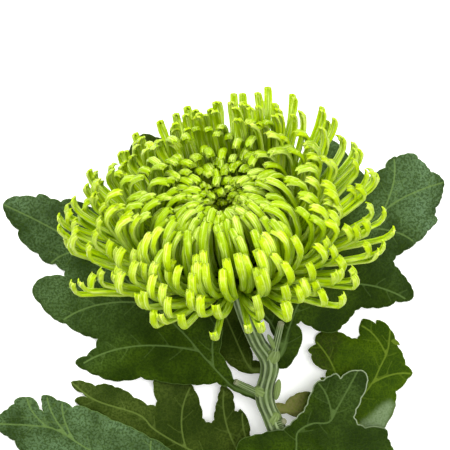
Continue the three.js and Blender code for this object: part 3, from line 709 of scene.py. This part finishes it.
# The base of the head: the dome that the florets stand on, and under it the cup of overlapping
# green bracts, each a thin pointed scale with a paler edge, grown up from the top of the stem.
TURNED_SIDES = 32
DOME_RINGS = 8
CUP_FOOT_RADIUS = 3.6 * MM
BRACT_ROWS = 4
BRACTS_PER_ROW = 14
BRACT_STEPS = 7
BRACT_LEAN, BRACT_STRAIGHTENS = 50, 22
BRACT_FOOT, BRACT_FOOT_STEP, BRACT_ROW_STEP = 0.4 * MM, 3.4 * MM, 4 * MM
BRACT_STAND_OFF, BRACT_BOW = 0.5 * MM, 0.6 * MM
BRACT_LENGTH = 7.5 * MM
BRACT_HALF_WIDTH = 2.3 * MM
BRACT_THICKNESS, BRACT_THINNING = 0.3 * MM, 0.6
BRACT_CUPPING = 0.3
BRACT_LEAST_HALF = 0.02 * MM
CUP_RIM_LIP = 0.6 * MM
DOME_FLOOR = 0.1 * MM
BRACT_GREENS = (0.1, 0.19, 0.03), (0.24, 0.36, 0.08)


def turned_mesh(name, profile, sides):
    """A closed turned mesh in the head's frame from (radius, height) points, axis to axis."""
    mesh = bpy.data.meshes.new(name)
    rings = [[(r * math.cos(2 * math.pi * i / sides), r * math.sin(2 * math.pi * i / sides), h)
              for i in range(sides)] for r, h in profile[1:-1]]
    points = [(0, 0, profile[0][1]), *[p for ring in rings for p in ring], (0, 0, profile[-1][1])]
    faces = []
    for i in range(sides):
        j = (i + 1) % sides
        faces.append((0, 1 + j, 1 + i))
        for ring in range(len(rings) - 1):
            a, b = 1 + ring * sides + i, 1 + ring * sides + j
            faces.append((a, b, b + sides, a + sides))
        last = 1 + (len(rings) - 1) * sides
        faces.append((last + i, last + j, len(points) - 1))
    mesh.from_pydata(points, [], faces)
    return mesh


def bract_mesh(name):
    """All the bracts of the cup as one mesh of thin pointed scales."""
    points, faces = [], []
    for row in range(BRACT_ROWS):
        for i in range(BRACTS_PER_ROW):
            turn = 2 * math.pi * (i + 0.5 * row) / BRACTS_PER_ROW
            add_bract(points, faces, turn, row / (BRACT_ROWS - 1))
    mesh = bpy.data.meshes.new(name)
    mesh.from_pydata(points, [], faces)
    return mesh


def add_bract(points, faces, turn, up):
    """One bract that lies up the outside of the cup, thick in the middle, thin at its edge."""
    first = len(points)
    lean = math.radians(BRACT_LEAN - BRACT_STRAIGHTENS * up)
    foot = Vector((CUP_FOOT_RADIUS + BRACT_FOOT_STEP * up, 0,
                   -CUP_DEPTH + BRACT_FOOT + BRACT_ROW_STEP * up))
    way = Vector((math.cos(lean), 0, math.sin(lean)))
    outwards = Vector((math.sin(lean), 0, -math.cos(lean)))
    for i in range(BRACT_STEPS + 1):
        t = i / BRACT_STEPS
        bowed = BRACT_STAND_OFF + BRACT_BOW * math.sin(math.pi * t)
        middle = foot + way * BRACT_LENGTH * t + outwards * bowed
        half = BRACT_HALF_WIDTH * math.sin(math.pi * min(1, 0.25 + 0.75 * t)) ** 0.8 + BRACT_LEAST_HALF
        thick = BRACT_THICKNESS * (1 - BRACT_THINNING * t)
        for side, lift in ((-1, 0), (0, thick), (1, 0), (0, -thick)):
            raised = outwards * (lift - BRACT_CUPPING * half * abs(side))
            spot = middle + Vector((0, side * half, 0)) + raised
            spot.rotate(Matrix.Rotation(turn, 3, "Z"))
            points.append(spot)
    for i in range(BRACT_STEPS):
        for k in range(4):
            a, b = first + 4 * i + k, first + 4 * i + (k + 1) % 4
            faces.append((a, b, b + 4, a + 4))
    last = first + 4 * BRACT_STEPS
    faces.append((first + 3, first + 2, first + 1, first))
    faces.append((last, last + 1, last + 2, last + 3))


def bract_finish():
    """Matt mid-green with darker and paler patches."""
    material, tree, shader, _, mottle, grain = grown_finish(
        "bract_skin", {"Roughness": 0.6, "Specular IOR Level": 0.2}, mottle=(260, 4), grain=1400)
    colour = blend_colours(tree, remap(tree, mottle, 0.3, 0.7), *BRACT_GREENS)
    dress(tree, shader, colour, grain, strength=0.3, distance=0.0003)
    return material


dome_profile = [(0, DOME_FLOOR), (CORE_RADIUS, DOME_FLOOR)]
for k in range(DOME_RINGS + 1):
    out = 1 - k / DOME_RINGS
    dome_profile.append((CORE_RADIUS * out, CORE_RIM + (CORE_HEIGHT - CORE_RIM) * (1 - out**2)))
cup_profile = [
    (0, -CUP_DEPTH), (CUP_FOOT_RADIUS, -CUP_DEPTH), (0.66 * CORE_RADIUS, -0.7 * CUP_DEPTH),
    (0.95 * CORE_RADIUS, -0.35 * CUP_DEPTH), (CORE_RADIUS + CUP_RIM_LIP, -SEAT_GAP), (0, -SEAT_GAP),
]
bract_skin = bract_finish()
for mesh, skin, slot, node in (
    (turned_mesh("bloom_base", dome_profile, TURNED_SIDES), petal_skin, "petal", "bloom"),
    (turned_mesh("bract_cup", cup_profile, TURNED_SIDES), bract_skin, "bract", "involucre"),
    (bract_mesh("bracts"), bract_skin, "bract", "involucre"),
):
    mesh.transform(Matrix.Translation(HEAD_CENTRE) @ head_turn)
    mesh.materials.append(skin)
    mesh.shade_smooth()
    hand_over(mesh.name, mesh, slot, node)

# The leaves: thin lobed blades on short stalks that clasp the stem. The midrib and the veins to
# each lobe are pale and sunken, and the skin between them is puffed up in small cushions.
BLADE_THICKNESS = 0.5 * MM
CAD_BLADE_THICKNESS = 0.8 * MM
MIDRIB_STEPS = 6
STALK_HALF_WIDTH = 1.5
STALK_REACH, STALK_HEIGHT = 0.9, 0.9
MARGIN_BULGE = 0.03
TOOTH_DEPTH, TOOTH_SPACING = 0.35, 4.5
LEAF_CELL = 1.15
ROW_SHARE = 0.87
EDGE_CLEARANCE, VEIN_CLEARANCE = 0.55 * LEAF_CELL, 0.45 * LEAF_CELL
LEAST_LOBE = 8
VEIN_FROM, VEIN_BACK, VEIN_BOW, VEIN_END = 4, 0.85, 0.22, 0.93
VEINLET_SPACING, VEINLET_LENGTH = 5, 6.5
CUSHION_HEIGHT, CUSHION_REACH, FLAT_EDGE = 0.1575, 1.6, 3
FLOOR_GAP = 0.02
FOLD_LIFT = 0.7
PATCH_BORDER = 1.8
RIM_FADE = 4
# Each leaf's sheen entry gives where its painted sheen starts, where it is full and how strong it is.
LEAVES = {
    "leaf_left": {
        "slot": "leaf_dark",
        "midrib": [
            (14.5, 10.5, 9.2), (7.5, 13, 9.4), (3, 15, 9.5), (-7, 25.5, 8.8), (-14, 33.5, 7.8),
            (-27.5, 46, 6.3), (-44, 60.5, 4.2), (-63.5, 72, 2.2), (-79, 79.5, 0.9),
        ],
        "left": [
            (2.1, 14.2), (-0.2, 14.7), (-1.9, 15.8), (-11.4, 15), (-24.1, 16.5), (-25.9, 16.3),
            (-29.1, 17.4), (-35.3, 16.1), (-40.2, 16.1), (-44.5, 17.7), (-48.9, 19.6), (-52.9, 22),
            (-52.7, 23.3), (-48.9, 24.8), (-45.4, 27.9), (-44.8, 31), (-47.6, 31.8), (-51.3, 33.1),
            (-56.3, 36.5), (-59.4, 37.5), (-61.8, 39.3), (-65.5, 43.6), (-68.5, 47.7), (-67.4, 51.1),
            (-64.9, 53), (-61.8, 53.7), (-56.9, 53.6), (-56.6, 55.4), (-60, 58), (-62.5, 58),
            (-65.7, 60.3), (-66.2, 61.6), (-70.8, 64.7), (-73.7, 68.5), (-73.3, 70.2), (-76.7, 73.6),
            (-78.2, 76.4),
        ],
        "right": [
            (4, 17), (-1, 26.5), (0, 42), (-9.5, 43), (-16.5, 49.5), (-18, 63), (-26.5, 69.5),
            (-36, 65.5), (-44.5, 76.5), (-52.6, 80.7), (-56.3, 81.4), (-58.1, 80.3), (-61.8, 81.5),
            (-65.9, 83.3), (-67.1, 82), (-73, 82.3), (-76.1, 82),
        ],
        "painted_sheen": (0.55, 0.95, 0.75),
        "fall": (0.2, 0.12),
    },
    "leaf_right": {
        "slot": "leaf_dark",
        "midrib": [
            (17.5, 22.5, 11.6), (21.5, 27.5, 12.6), (23.5, 34.5, 12.6), (27.5, 44.5, 11.6),
            (36.5, 57.5, 9.6), (49.5, 70, 7), (62, 80, 4.4), (71, 84.5, 2.6), (80, 87.5, 0.9),
        ],
        "left": [
            (20.5, 26), (19.5, 31), (16.5, 37), (12, 43), (18, 51), (20, 62), (24.5, 79), (31, 95),
            (36, 103), (41, 102), (46, 95.5), (52, 88), (58.7, 92.7), (59, 94.3), (61, 96.1),
            (62.2, 96.8), (62.8, 96.4), (65.6, 97.5), (67.9, 97.9), (70, 97.3), (70.6, 95.9), (72, 95),
            (73.9, 92.9), (75.2, 91.1), (77.1, 90.6), (79, 89),
        ],
        "right": [
            (23, 21), (27.5, 28), (28.5, 33.5), (26.4, 36.6), (28, 37.8), (31.6, 35.9), (35.7, 33.9),
            (41.2, 34.1), (43, 36.2), (45.8, 38.9), (47.6, 41.4), (49.9, 42.6), (54, 42.4), (58.1, 42.6),
            (60.9, 43.3), (62.3, 44.6), (65.4, 44.4), (68.4, 45.3), (69, 47.2), (68.4, 49.2),
            (66.8, 51.7), (64.5, 54.5), (62, 57.4), (61.4, 59), (62.5, 60.9), (65.4, 62.7), (70, 65.9),
            (72.8, 67.9), (73.9, 69.8), (75.9, 71.6), (77.7, 73.9), (76.6, 75.5), (76.9, 78.2),
            (78.7, 81), (79.2, 82.8), (79.6, 85.3),
        ],
        "painted_sheen": (0.55, 0.85, 0.85),
        "fall": (0.16, 0.2),
    },
    "leaf_behind": {
        "slot": "leaf_olive",
        "midrib": [
            (15.5, 21, 9.6), (11.5, 20, 7), (8.5, 23, 4.8), (3.5, 34, 2.4), (-2, 46.5, 1.1),
            (-8, 58.5, 0.4), (-14.5, 72, 0.4), (-20.5, 84.5, 0.4), (-28.5, 105, 0.4),
        ],
        "left": [
            (8, 19), (1.5, 23), (-6, 34.5), (-11.5, 45), (-22.5, 58.5), (-25, 72), (-34, 90),
            (-33, 100.5),
        ],
        "right": [
            (11, 23.5), (10, 28), (13, 37), (9, 50), (12, 64), (0, 82.5), (-8, 89), (-14, 94),
            (-20, 102),
        ],
        "painted_sheen": (0.0, 1.0, 0.0),
        "fall": (0.05, 0.05),
    },
    "leaf_lower_left_back": {
        "slot": "leaf_olive",
        "midrib": [
            (22.5, -18, 7.6), (17, -17.6, 6.4), (4.5, -14.5, 5.6), (-11.5, -8.5, 5.4), (-24, -1.5, 4.8),
            (-30, 4, 4.2), (-45.5, 9, 2.6), (-54.5, 15.5, 0.9),
        ],
        "left": [
            (12, -19.5), (-2.5, -21.5), (-12, -17), (-23, -16), (-34.5, -4.5), (-39.5, -1), (-44, 4.5),
            (-52.5, 7.9), (-53.2, 8.8), (-52.1, 10), (-48.5, 10.1), (-50.2, 11.6), (-53.2, 13),
        ],
        "right": [
            (13.5, -15), (9.6, -6), (9.7, 0.8), (6.5, 6.1), (5.6, 5), (4.4, 5.3), (4, 9.1), (4, 11.4),
            (-0.2, 14.6), (-0.8, 12.4), (-1.6, 9.1), (-2.9, 2.1), (-3.9, 1), (-5.8, 1.3), (-7.1, 2.8),
            (-8, 7.6), (-9.9, 12.7), (-11.4, 15.1), (-14.4, 16.2), (-17, 17.3), (-19.5, 17.9),
            (-23.1, 17.5), (-24.5, 16.7), (-24.7, 14.3), (-23.4, 8.8), (-23.9, 7.1), (-26.8, 7.3),
            (-31.8, 10.1), (-35.5, 12.8), (-38.5, 13.7), (-40.8, 14.7), (-43.8, 14.7), (-45.7, 14.1),
            (-49.1, 15.4), (-52.5, 16),
        ],
        "painted_sheen": (0.3, 1.0, 0.25),
        "fall": (0.1, 0.06),
    },
    "leaf_lower_left_front": {
        "slot": "leaf_dark",
        "midrib": [
            (22, -43, 7), (10, -37.5, 7.8), (-8, -28, 9), (-26, -18.5, 9.2), (-47, -8.5, 8.2),
            (-59, -1.5, 6), (-67.5, 0, 4), (-83, 0.5, 0.9),
        ],
        "left": [
            (8.5, -41.5), (-6, -36), (-19.5, -40), (-34.5, -30), (-39.5, -23), (-57.5, -24.5),
            (-64.5, -16), (-73, -9), (-74.7, -5.6), (-77.3, -4.1), (-79.6, -2.8),
        ],
        "right": [
            (11, -35), (-6, -21), (-20.5, -6.8), (-25.7, -4.1), (-39.6, 2.3), (-46.8, 5.7), (-52.4, 7.4),
            (-53.6, 6.6), (-57.7, 8.9), (-59.2, 9.2), (-63.4, 11.1), (-64.9, 10.6), (-64.7, 7.9),
            (-64.1, 4.9), (-65.6, 5.9), (-67.9, 9.8), (-70.7, 10.2), (-74.7, 9.1), (-74.8, 7.7),
            (-77.3, 5.7), (-79.6, 4.2),
        ],
        "painted_sheen": (-0.5, 0.5, 0.75),
        "fall": (0.22, 0.08),
    },
    "leaf_lower_right_front": {
        "slot": "leaf_dark",
        "midrib": [
            (24.2, -33, 6.5), (24.6, -28, 9.8), (25.3, -20, 13.2), (26.3, -7, 14.8), (26.8, -1.5, 14.4),
            (32, 1.5, 13.6), (38, 2, 12.8), (41, 7, 12), (45, 14, 11), (48.5, 20.3, 10),
        ],
        "left": [
            (20, -26), (14, -22), (8, -16), (5, -9), (6.3, -4.5), (14, -2.2), (21.5, -0.6), (24, 1.2),
            (26.2, 3.4), (28.9, 5.9), (30.2, 8.4), (32, 12.9), (34, 16.5), (36, 16.7), (38.6, 18.3),
            (40.7, 19.2), (42.2, 17.4), (44, 19.2),
        ],
        "right": [
            (28, -29), (36, -27), (47, -30), (58, -27), (65, -20), (61.5, -10), (60.3, -6.6), (59, -4),
            (59, -1.3), (56.8, -0.2), (51, -0.2), (48.3, 1.1), (47, 3.6), (47.8, 6.3), (49.6, 10.3),
            (51.7, 15.3), (51.9, 17.9), (50.5, 20),
        ],
        # Above this line across the leaf, its margin gets a painted rim highlight.
        "pale_rim_from": -1.5,
        "painted_sheen": (0.5, 1.0, 0.2),
        "fall": (0.1, 0.16),
    },
    "leaf_right_back": {
        "slot": "leaf_pale",
        "midrib": [
            (17.5, 6.5, 8.6), (21, 6.2, 7.2), (31.5, 4.5, 5.5), (42.5, 5.5, 4.2), (49.5, 10, 3.6),
            (54, 15.5, 3.3), (56.5, 20.5, 2.9), (59.5, 27, 2.1), (60.5, 34.5, 0.9),
        ],
        "left": [
            (22.5, 8), (23.4, 9.6), (25.7, 11), (28.4, 12.1), (32.1, 11.9), (36.4, 15.5), (35.1, 17.2),
            (37.1, 17.2), (37.6, 19.9), (34.6, 21), (32.1, 23.8), (32.1, 25.6), (30.7, 27.1),
            (33.7, 29.1), (33.5, 31.6), (34.8, 33.1), (39, 33.8), (42.1, 33.4), (44.9, 32), (46.7, 31.1),
            (48.6, 31.1), (49.6, 32.3), (49.7, 36.4), (50.8, 38.3), (55.4, 36.4), (55.6, 37.8),
            (57.7, 37.3),
        ],
        "right": [
            (23, 4.6), (29.5, 3), (44.5, -3.5), (56.5, -3), (62, 6), (62.3, 8.5), (62.3, 12.1),
            (66.8, 16.7), (68.6, 18.8), (65.9, 21.7), (65.2, 24.5), (63.6, 27.7), (60.9, 30.2),
            (64.1, 28.7), (62.3, 30.9),
        ],
        "painted_sheen": (0.0, 1.0, 0.0),
        # A patch of painted shade over the left lobe.
        "painted_shade": [
            (30, 15), (26, 28), (32, 38), (40, 36), (44, 31.5), (41.5, 27.2), (40.1, 22.9), (38.6, 19.3),
        ],
        "tan": [
            (17, 2), (17, 14), (31, 14), (29.5, 8), (28, 2),
        ],
        "fold": [
            (49.5, 1.1), (52.6, 3), (55.9, 6.2), (58.4, 8.2), (60.4, 8.7), (61.9, 7.6), (61, 5),
            (58.1, -1.1), (56.3, -1.8), (51.8, -1.6), (49.5, -0.2),
        ],
        "fall": (0.07, 0.08),
    },
}
# Colours laid on leaf patches: a painted shade, a painted rim highlight, a tan patch and a folded patch.
LEAF_PATCHES = {
    "painted_shade": (0.03, 0.042, 0.005),
    "rim": (0.42, 0.5, 0.32),
    "tan": (0.17, 0.165, 0.05),
    "fold": (0.17, 0.24, 0.115),
}
LEAF_FINISHES = {
    # roughness, then the deep and light greens, the greyer colour of the painted sheen and the ribs
    "leaf_dark": (0.45, (0.012, 0.027, 0.001), (0.036, 0.07, 0.002), (0.1, 0.17, 0.085),
                  (0.11, 0.18, 0.045)),
    "leaf_olive": (0.55, (0.014, 0.028, 0.001), (0.045, 0.07, 0.006), (0.07, 0.1, 0.035),
                   (0.11, 0.16, 0.03)),
    # The pale leaf's greens are painted light: paler, to stand in for light shining through the backlit
    # leaf.
    "leaf_pale": (0.5, (0.025, 0.055, 0.001), (0.075, 0.135, 0.002), (0.12, 0.2, 0.015),
                  (0.16, 0.24, 0.02)),
}


def margin_line(corners, outward):
    """A margin drawn finely through its lobe tips and sinuses, bulged and finely toothed."""
    points = []
    for a, b in zip(corners, corners[1:]):
        run = b - a
        out = Vector((run.y, -run.x)) * outward
        parts = max(2, round(run.length / LEAF_CELL))
        teeth = max(1, round(run.length / TOOTH_SPACING))
        for part in range(parts):
            t = part / parts
            tooth = TOOTH_DEPTH * abs(math.sin(math.pi * t * teeth))
            fading = min(1, 6 * t * (1 - t))
            bulge = MARGIN_BULGE * 4 * t * (1 - t) + tooth / max(run.length, 4) * fading
            points.append(a + run * t + out * bulge)
    return points


def flat_points(line):
    """A line's points, seen from above, as an array."""
    return np.array([p[:2] for p in line])


def line_distances(points, line):
    """For each point, its distance from a broken line, and where along it that is."""
    best = np.full(len(points), np.inf)
    along = np.zeros(len(points))
    for i in range(len(line) - 1):
        a, run = line[i], line[i + 1] - line[i]
        t = np.clip(((points - a) @ run) / (run @ run + 1e-12), 0, 1)
        gap = np.hypot(*(points - a - t[:, None] * run).T)
        closer = gap < best
        best[closer] = gap[closer]
        along[closer] = i + t[closer]
    return best, along


def nearest(points, lines):
    """For each point, its distance from the nearest of several broken lines."""
    best = np.full(len(points), np.inf)
    for line in lines:
        if len(line) > 1:
            best = np.minimum(best, line_distances(points, flat_points(line))[0])
    return best


def edge_distances(points, outline):
    """For each point, its distance from a closed outline."""
    return line_distances(points, np.vstack([outline, outline[:1]]))[0]


def lobe_tips(corners, midrib):
    """The corners of a margin that stand further from the midrib than their neighbours."""
    gaps, _ = line_distances(flat_points(corners), midrib)
    return [corners[i] for i in range(1, len(corners) - 1)
            if gaps[i] > LEAST_LOBE and gaps[i] > gaps[i - 1] and gaps[i] >= gaps[i + 1]]


def side_veins(corners, midrib):
    """The curved veins that run from the midrib towards the tip of each lobe on one side."""
    steps = np.linalg.norm(np.diff(midrib, axis=0), axis=1)
    reach = np.concatenate([[0], np.cumsum(steps)])
    veins = []
    for tip in lobe_tips(corners, midrib):
        gap, along = line_distances(flat_points([tip]), midrib)
        reached = np.interp(along[0], range(len(midrib)), reach)
        start_at = max(VEIN_FROM, reached - VEIN_BACK * gap[0])
        start, ahead = (Vector([np.interp(at, reach, midrib[:, k]) for k in (0, 1)])
                        for at in (start_at, start_at + 6))
        way = (ahead - start).normalized() * VEIN_BOW * (tip - start).length
        end = start.lerp(tip, VEIN_END)
        bend = start.lerp(end, 0.45) + way
        count = max(4, round((end - start).length / LEAF_CELL))
        veins.append([start * (1 - t) ** 2 + bend * 2 * t * (1 - t) + end * t * t
                      for t in (i / count for i in range(count + 1))])
    return veins


def veinlets(vein):
    """Short branches to both sides of a vein, at an angle towards its end."""
    branches = []
    spacing = round(VEINLET_SPACING / LEAF_CELL)
    for n, i in enumerate(range(spacing, len(vein) - 2, spacing)):
        way = (vein[i + 1] - vein[i - 1]).normalized()
        side = Vector((way.y, -way.x)) * (1 if n % 2 else -1)
        length = VEINLET_LENGTH * (1 - 0.5 * i / len(vein))
        count = round(length / LEAF_CELL)
        branches.append([vein[i] + (way * 0.75 + side) * length * 0.8 * k / count
                         + way * 0.12 * length * (k / count) ** 2 for k in range(count + 1)])
    return branches


def inside(points, outline):
    """Which points lie inside a closed outline."""
    result = np.zeros(len(points), bool)
    x, y = points[:, 0], points[:, 1]
    for (ax, ay), (bx, by) in zip(outline, np.roll(outline, -1, axis=0)):
        crosses = (ay > y) != (by > y)
        if crosses.any():
            where = ax + (y - ay) / (by - ay + 1e-12) * (bx - ax)
            result ^= crosses & (x < where)
    return result


def soft_patch(places, outline):
    """1 well inside an outline, 0 well outside it or without one, and a soft border between."""
    if outline is None:
        return np.zeros(len(places))
    corners = np.array(outline)
    away = edge_distances(places, corners)
    within = np.where(inside(places, corners), away, -away)
    return np.clip(0.5 + within / PATCH_BORDER, 0, 1)


def leaf_mesh(name, leaf):
    """A leaf as a closed mesh of fine triangles, laid along its margin and its veins."""
    midrib3 = np.array([p[:] for p in smooth_line(leaf["midrib"], MIDRIB_STEPS)])
    midrib = midrib3[:, :2]
    first, second = Vector(midrib[0]), Vector(midrib[3])
    run = (second - first).normalized()
    ribs = [[Vector(p) for p in midrib]]
    margins = []
    for key, outward in (("left", -1), ("right", 1)):
        beside = Vector((run.y, -run.x)) * outward * STALK_HALF_WIDTH
        corners = [first + beside, *[Vector(c) for c in leaf[key]], Vector(midrib[-1])]
        margins.append(margin_line(corners, outward))
        ribs += side_veins(corners, midrib)
    outline = flat_points([*margins[0], Vector(midrib[-1]), *margins[1][::-1]])
    small = [b for vein in ribs for b in veinlets(vein)]
    net = [[p for p in vein if inside(flat_points([p]), outline)[0]] for vein in [*ribs, *small]]

    low, high = outline.min(0), outline.max(0)
    grid = np.array([
        (x, y) for row, y in enumerate(np.arange(low[1], high[1], LEAF_CELL * ROW_SHARE))
        for x in np.arange(low[0] + (row % 2) * LEAF_CELL / 2, high[0], LEAF_CELL)
    ])
    grid = grid[inside(grid, outline)]
    clear = edge_distances(grid, outline) > EDGE_CLEARANCE
    grid = grid[clear & (nearest(grid, net) > VEIN_CLEARANCE)]

    flat = [Vector(p) for p in outline]
    edges = [(i, (i + 1) % len(outline)) for i in range(len(outline))]
    for vein in net:
        start = len(flat)
        flat += [Vector(p[:2]) for p in vein]
        edges += [(start + i, start + i + 1) for i in range(len(vein) - 1)]
    flat += [Vector(p) for p in grid]
    places, _, triangles, *_ = delaunay_2d_cdt(flat, edges, [], 1, 1e-4)
    return leaf_solid(name, leaf, midrib3, flat_points(places), triangles, ribs, net, outline)


def leaf_solid(name, leaf, midrib3, places, triangles, ribs, net, outline):
    """Lifts a flat leaf to its form, gives it a thickness and stores its distances."""
    gap, along = line_distances(places, midrib3[:, :2])
    share = along / (len(midrib3) - 1)
    middle = np.interp(along, range(len(midrib3)), midrib3[:, 2])
    index = np.clip(along.astype(int), 0, len(midrib3) - 2)
    ahead = (midrib3[index + 1] - midrib3[index])[:, :2]
    aside = places - midrib3[index, :2]
    to_left = ahead[:, 0] * aside[:, 1] - ahead[:, 1] * aside[:, 0] > 0
    lift = middle - np.where(to_left, *leaf["fall"]) * gap
    # The painted sheen: a greyer colour laid on towards the leaf's end, standing in for light reflected
    # off the leaf.
    start, full, most = leaf["painted_sheen"]
    values = {
        "vein": nearest(places, net),
        "rib": nearest(places, ribs),
        "edge": edge_distances(places, outline),
        "share": share,
        "painted_sheen": most * np.clip((share - start) / (full - start), 0, 1),
        "rim": np.clip((places[:, 1] - leaf.get("pale_rim_from", math.inf)) / RIM_FADE, 0, 1),
        **{key: soft_patch(places, leaf.get(key)) for key in ("fold", "painted_shade", "tan")},
    }
    cushion = CUSHION_HEIGHT * (1 - np.exp(-((values["vein"] / CUSHION_REACH) ** 2)))
    puff = cushion * np.clip(values["edge"] / FLAT_EDGE, 0, 1)
    base = np.maximum(0.5 * CAD_BLADE_THICKNESS / MM, lift) + FOLD_LIFT * values["fold"]
    stalk = STALK_HEIGHT * np.exp(-((gap / STALK_REACH) ** 2)) * (1 - share) ** 1.5
    half = 0.5 * BLADE_THICKNESS / MM
    upper = np.column_stack([places, base + half + puff + stalk]) * MM
    lower = np.column_stack([places, np.maximum(FLOOR_GAP, base - half + puff - stalk)]) * MM
    count = len(places)
    faces, used = [], {}
    for a, b, c in triangles:
        if np.cross(places[b] - places[a], places[c] - places[a]) < 0:
            b, c = c, b
        faces += [(a, b, c), (count + a, count + c, count + b)]
        for pair in ((a, b), (b, c), (c, a)):
            if used.pop(pair[::-1], None) is None:
                used[pair] = True
    faces += [(a, count + a, count + b, b) for a, b in used]
    mesh = bpy.data.meshes.new(name)
    mesh.from_pydata(np.vstack([upper, lower]).tolist(), [], faces)
    for key, data in values.items():
        layer = mesh.attributes.new(key, "FLOAT", "POINT")
        layer.data.foreach_set("value", np.tile(data, 2).astype(np.float32))
    mesh.shade_smooth()
    return mesh


def leaf_group():
    """A leaf's colours and relief, shared by the three leaf skins: two greens in cushions between pale
    veins, a greyer painted sheen towards the end that stands in for reflected light, paler edges and
    rims as painted rim highlight, a patch of painted shade, and tan and folded places."""
    colours = ("Deep", "Light", "Painted sheen", "Rib")
    tree, given, result = start_tree(
        "leaf_surface", "ShaderNodeTree",
        {"Place": "Vector", "Mottle": "Float", "Grain": "Float", **dict.fromkeys(colours, "Color")},
        {"Colour": "Color", "Height": "Float"},
    )
    mottle, grain = given["Mottle"], given["Grain"]
    deep, light, painted_sheen_colour, ribs = (given[label] for label in colours)
    vein, rib, edge, share, painted_sheen, rim, fold, painted_shade, tan = (
        surface_value(tree, key)
        for key in ("vein", "rib", "edge", "share", "painted_sheen", "rim", "fold", "painted_shade", "tan")
    )
    net = add_node(tree, "ShaderNodeTexVoronoi", {"Scale": 620, "Vector": given["Place"]},
                   feature="DISTANCE_TO_EDGE").outputs["Distance"]
    stalky = product(tree, remap(tree, share, 0.05, 0.3, 0.8, 0), remap(tree, rib, 0.5, 1.3, 1, 0))
    colour = layered(
        tree, blend_colours(tree, remap(tree, mottle, 0.35, 0.68), deep, light),
        # A patch of painted shade.
        (product(tree, painted_shade, 0.8), LEAF_PATCHES["painted_shade"]),
        # Painted sheen: a greyer colour where the leaf would reflect light.
        (product(tree, painted_sheen, remap(tree, mottle, 0.2, 0.75)), painted_sheen_colour),
        (remap(tree, grain, 0.42, 0.6, 0, 0.65), deep),
        (remap(tree, net, 0.0, 0.1, 0.3, 0), light),
        (remap(tree, vein, 0.05, 0.3, 0.22, 0), ribs),
        (stalky, ribs),
        (remap(tree, rib, 0.12, 0.45, 0.55, 0), ribs),
        # Paler edges on every leaf, and a stronger pale rim where one is set: painted rim highlight.
        (remap(tree, edge, 0.05, 0.35, 0.6, 0), ribs),
        (product(tree, rim, remap(tree, edge, 0.1, 0.55, 0.8, 0)), LEAF_PATCHES["rim"]),
        (product(tree, tan, remap(tree, grain, 0.3, 0.65, 0.5, 0.95)), LEAF_PATCHES["tan"]),
        (product(tree, fold, remap(tree, grain, 0.3, 0.6, 0.6, 1)), LEAF_PATCHES["fold"]),
    )
    cells = product(tree, remap(tree, net, 0.0, 0.2), 0.5)
    grained = reckon(tree, "ADD", cells, grain)
    feed(tree, result["Colour"], colour)
    feed(tree, result["Height"], reckon(tree, "ADD", grained, remap(tree, vein, 0.0, 1.2)))
    return tree


def leaf_finish(name, roughness, deep, light, painted_sheen_colour, ribs):
    """One kind of leaf skin: the shared leaf surface in its own greens."""
    material, tree, shader, place, mottle, grain = grown_finish(
        name, {"Roughness": roughness, "Specular IOR Level": 0.03}, mottle=(75, 3), grain=1300)
    surface = add_node(tree, "ShaderNodeGroup", {
        "Place": place, "Mottle": mottle, "Grain": grain, "Deep": deep, "Light": light,
        "Painted sheen": painted_sheen_colour, "Rib": ribs,
    }, node_tree=leaf_surface).outputs
    dress(tree, shader, surface["Colour"], surface["Height"], strength=0.4, distance=0.0004)
    return material


leaf_surface = leaf_group()
leaf_skins = {slot: leaf_finish(slot.replace("leaf", "leaf_skin"), *values)
              for slot, values in LEAF_FINISHES.items()}
for node, leaf in LEAVES.items():
    blade = leaf_mesh(node + "_blade", leaf)
    blade.materials.append(leaf_skins[leaf["slot"]])
    hand_over(node + "_blade", blade, leaf["slot"], node)
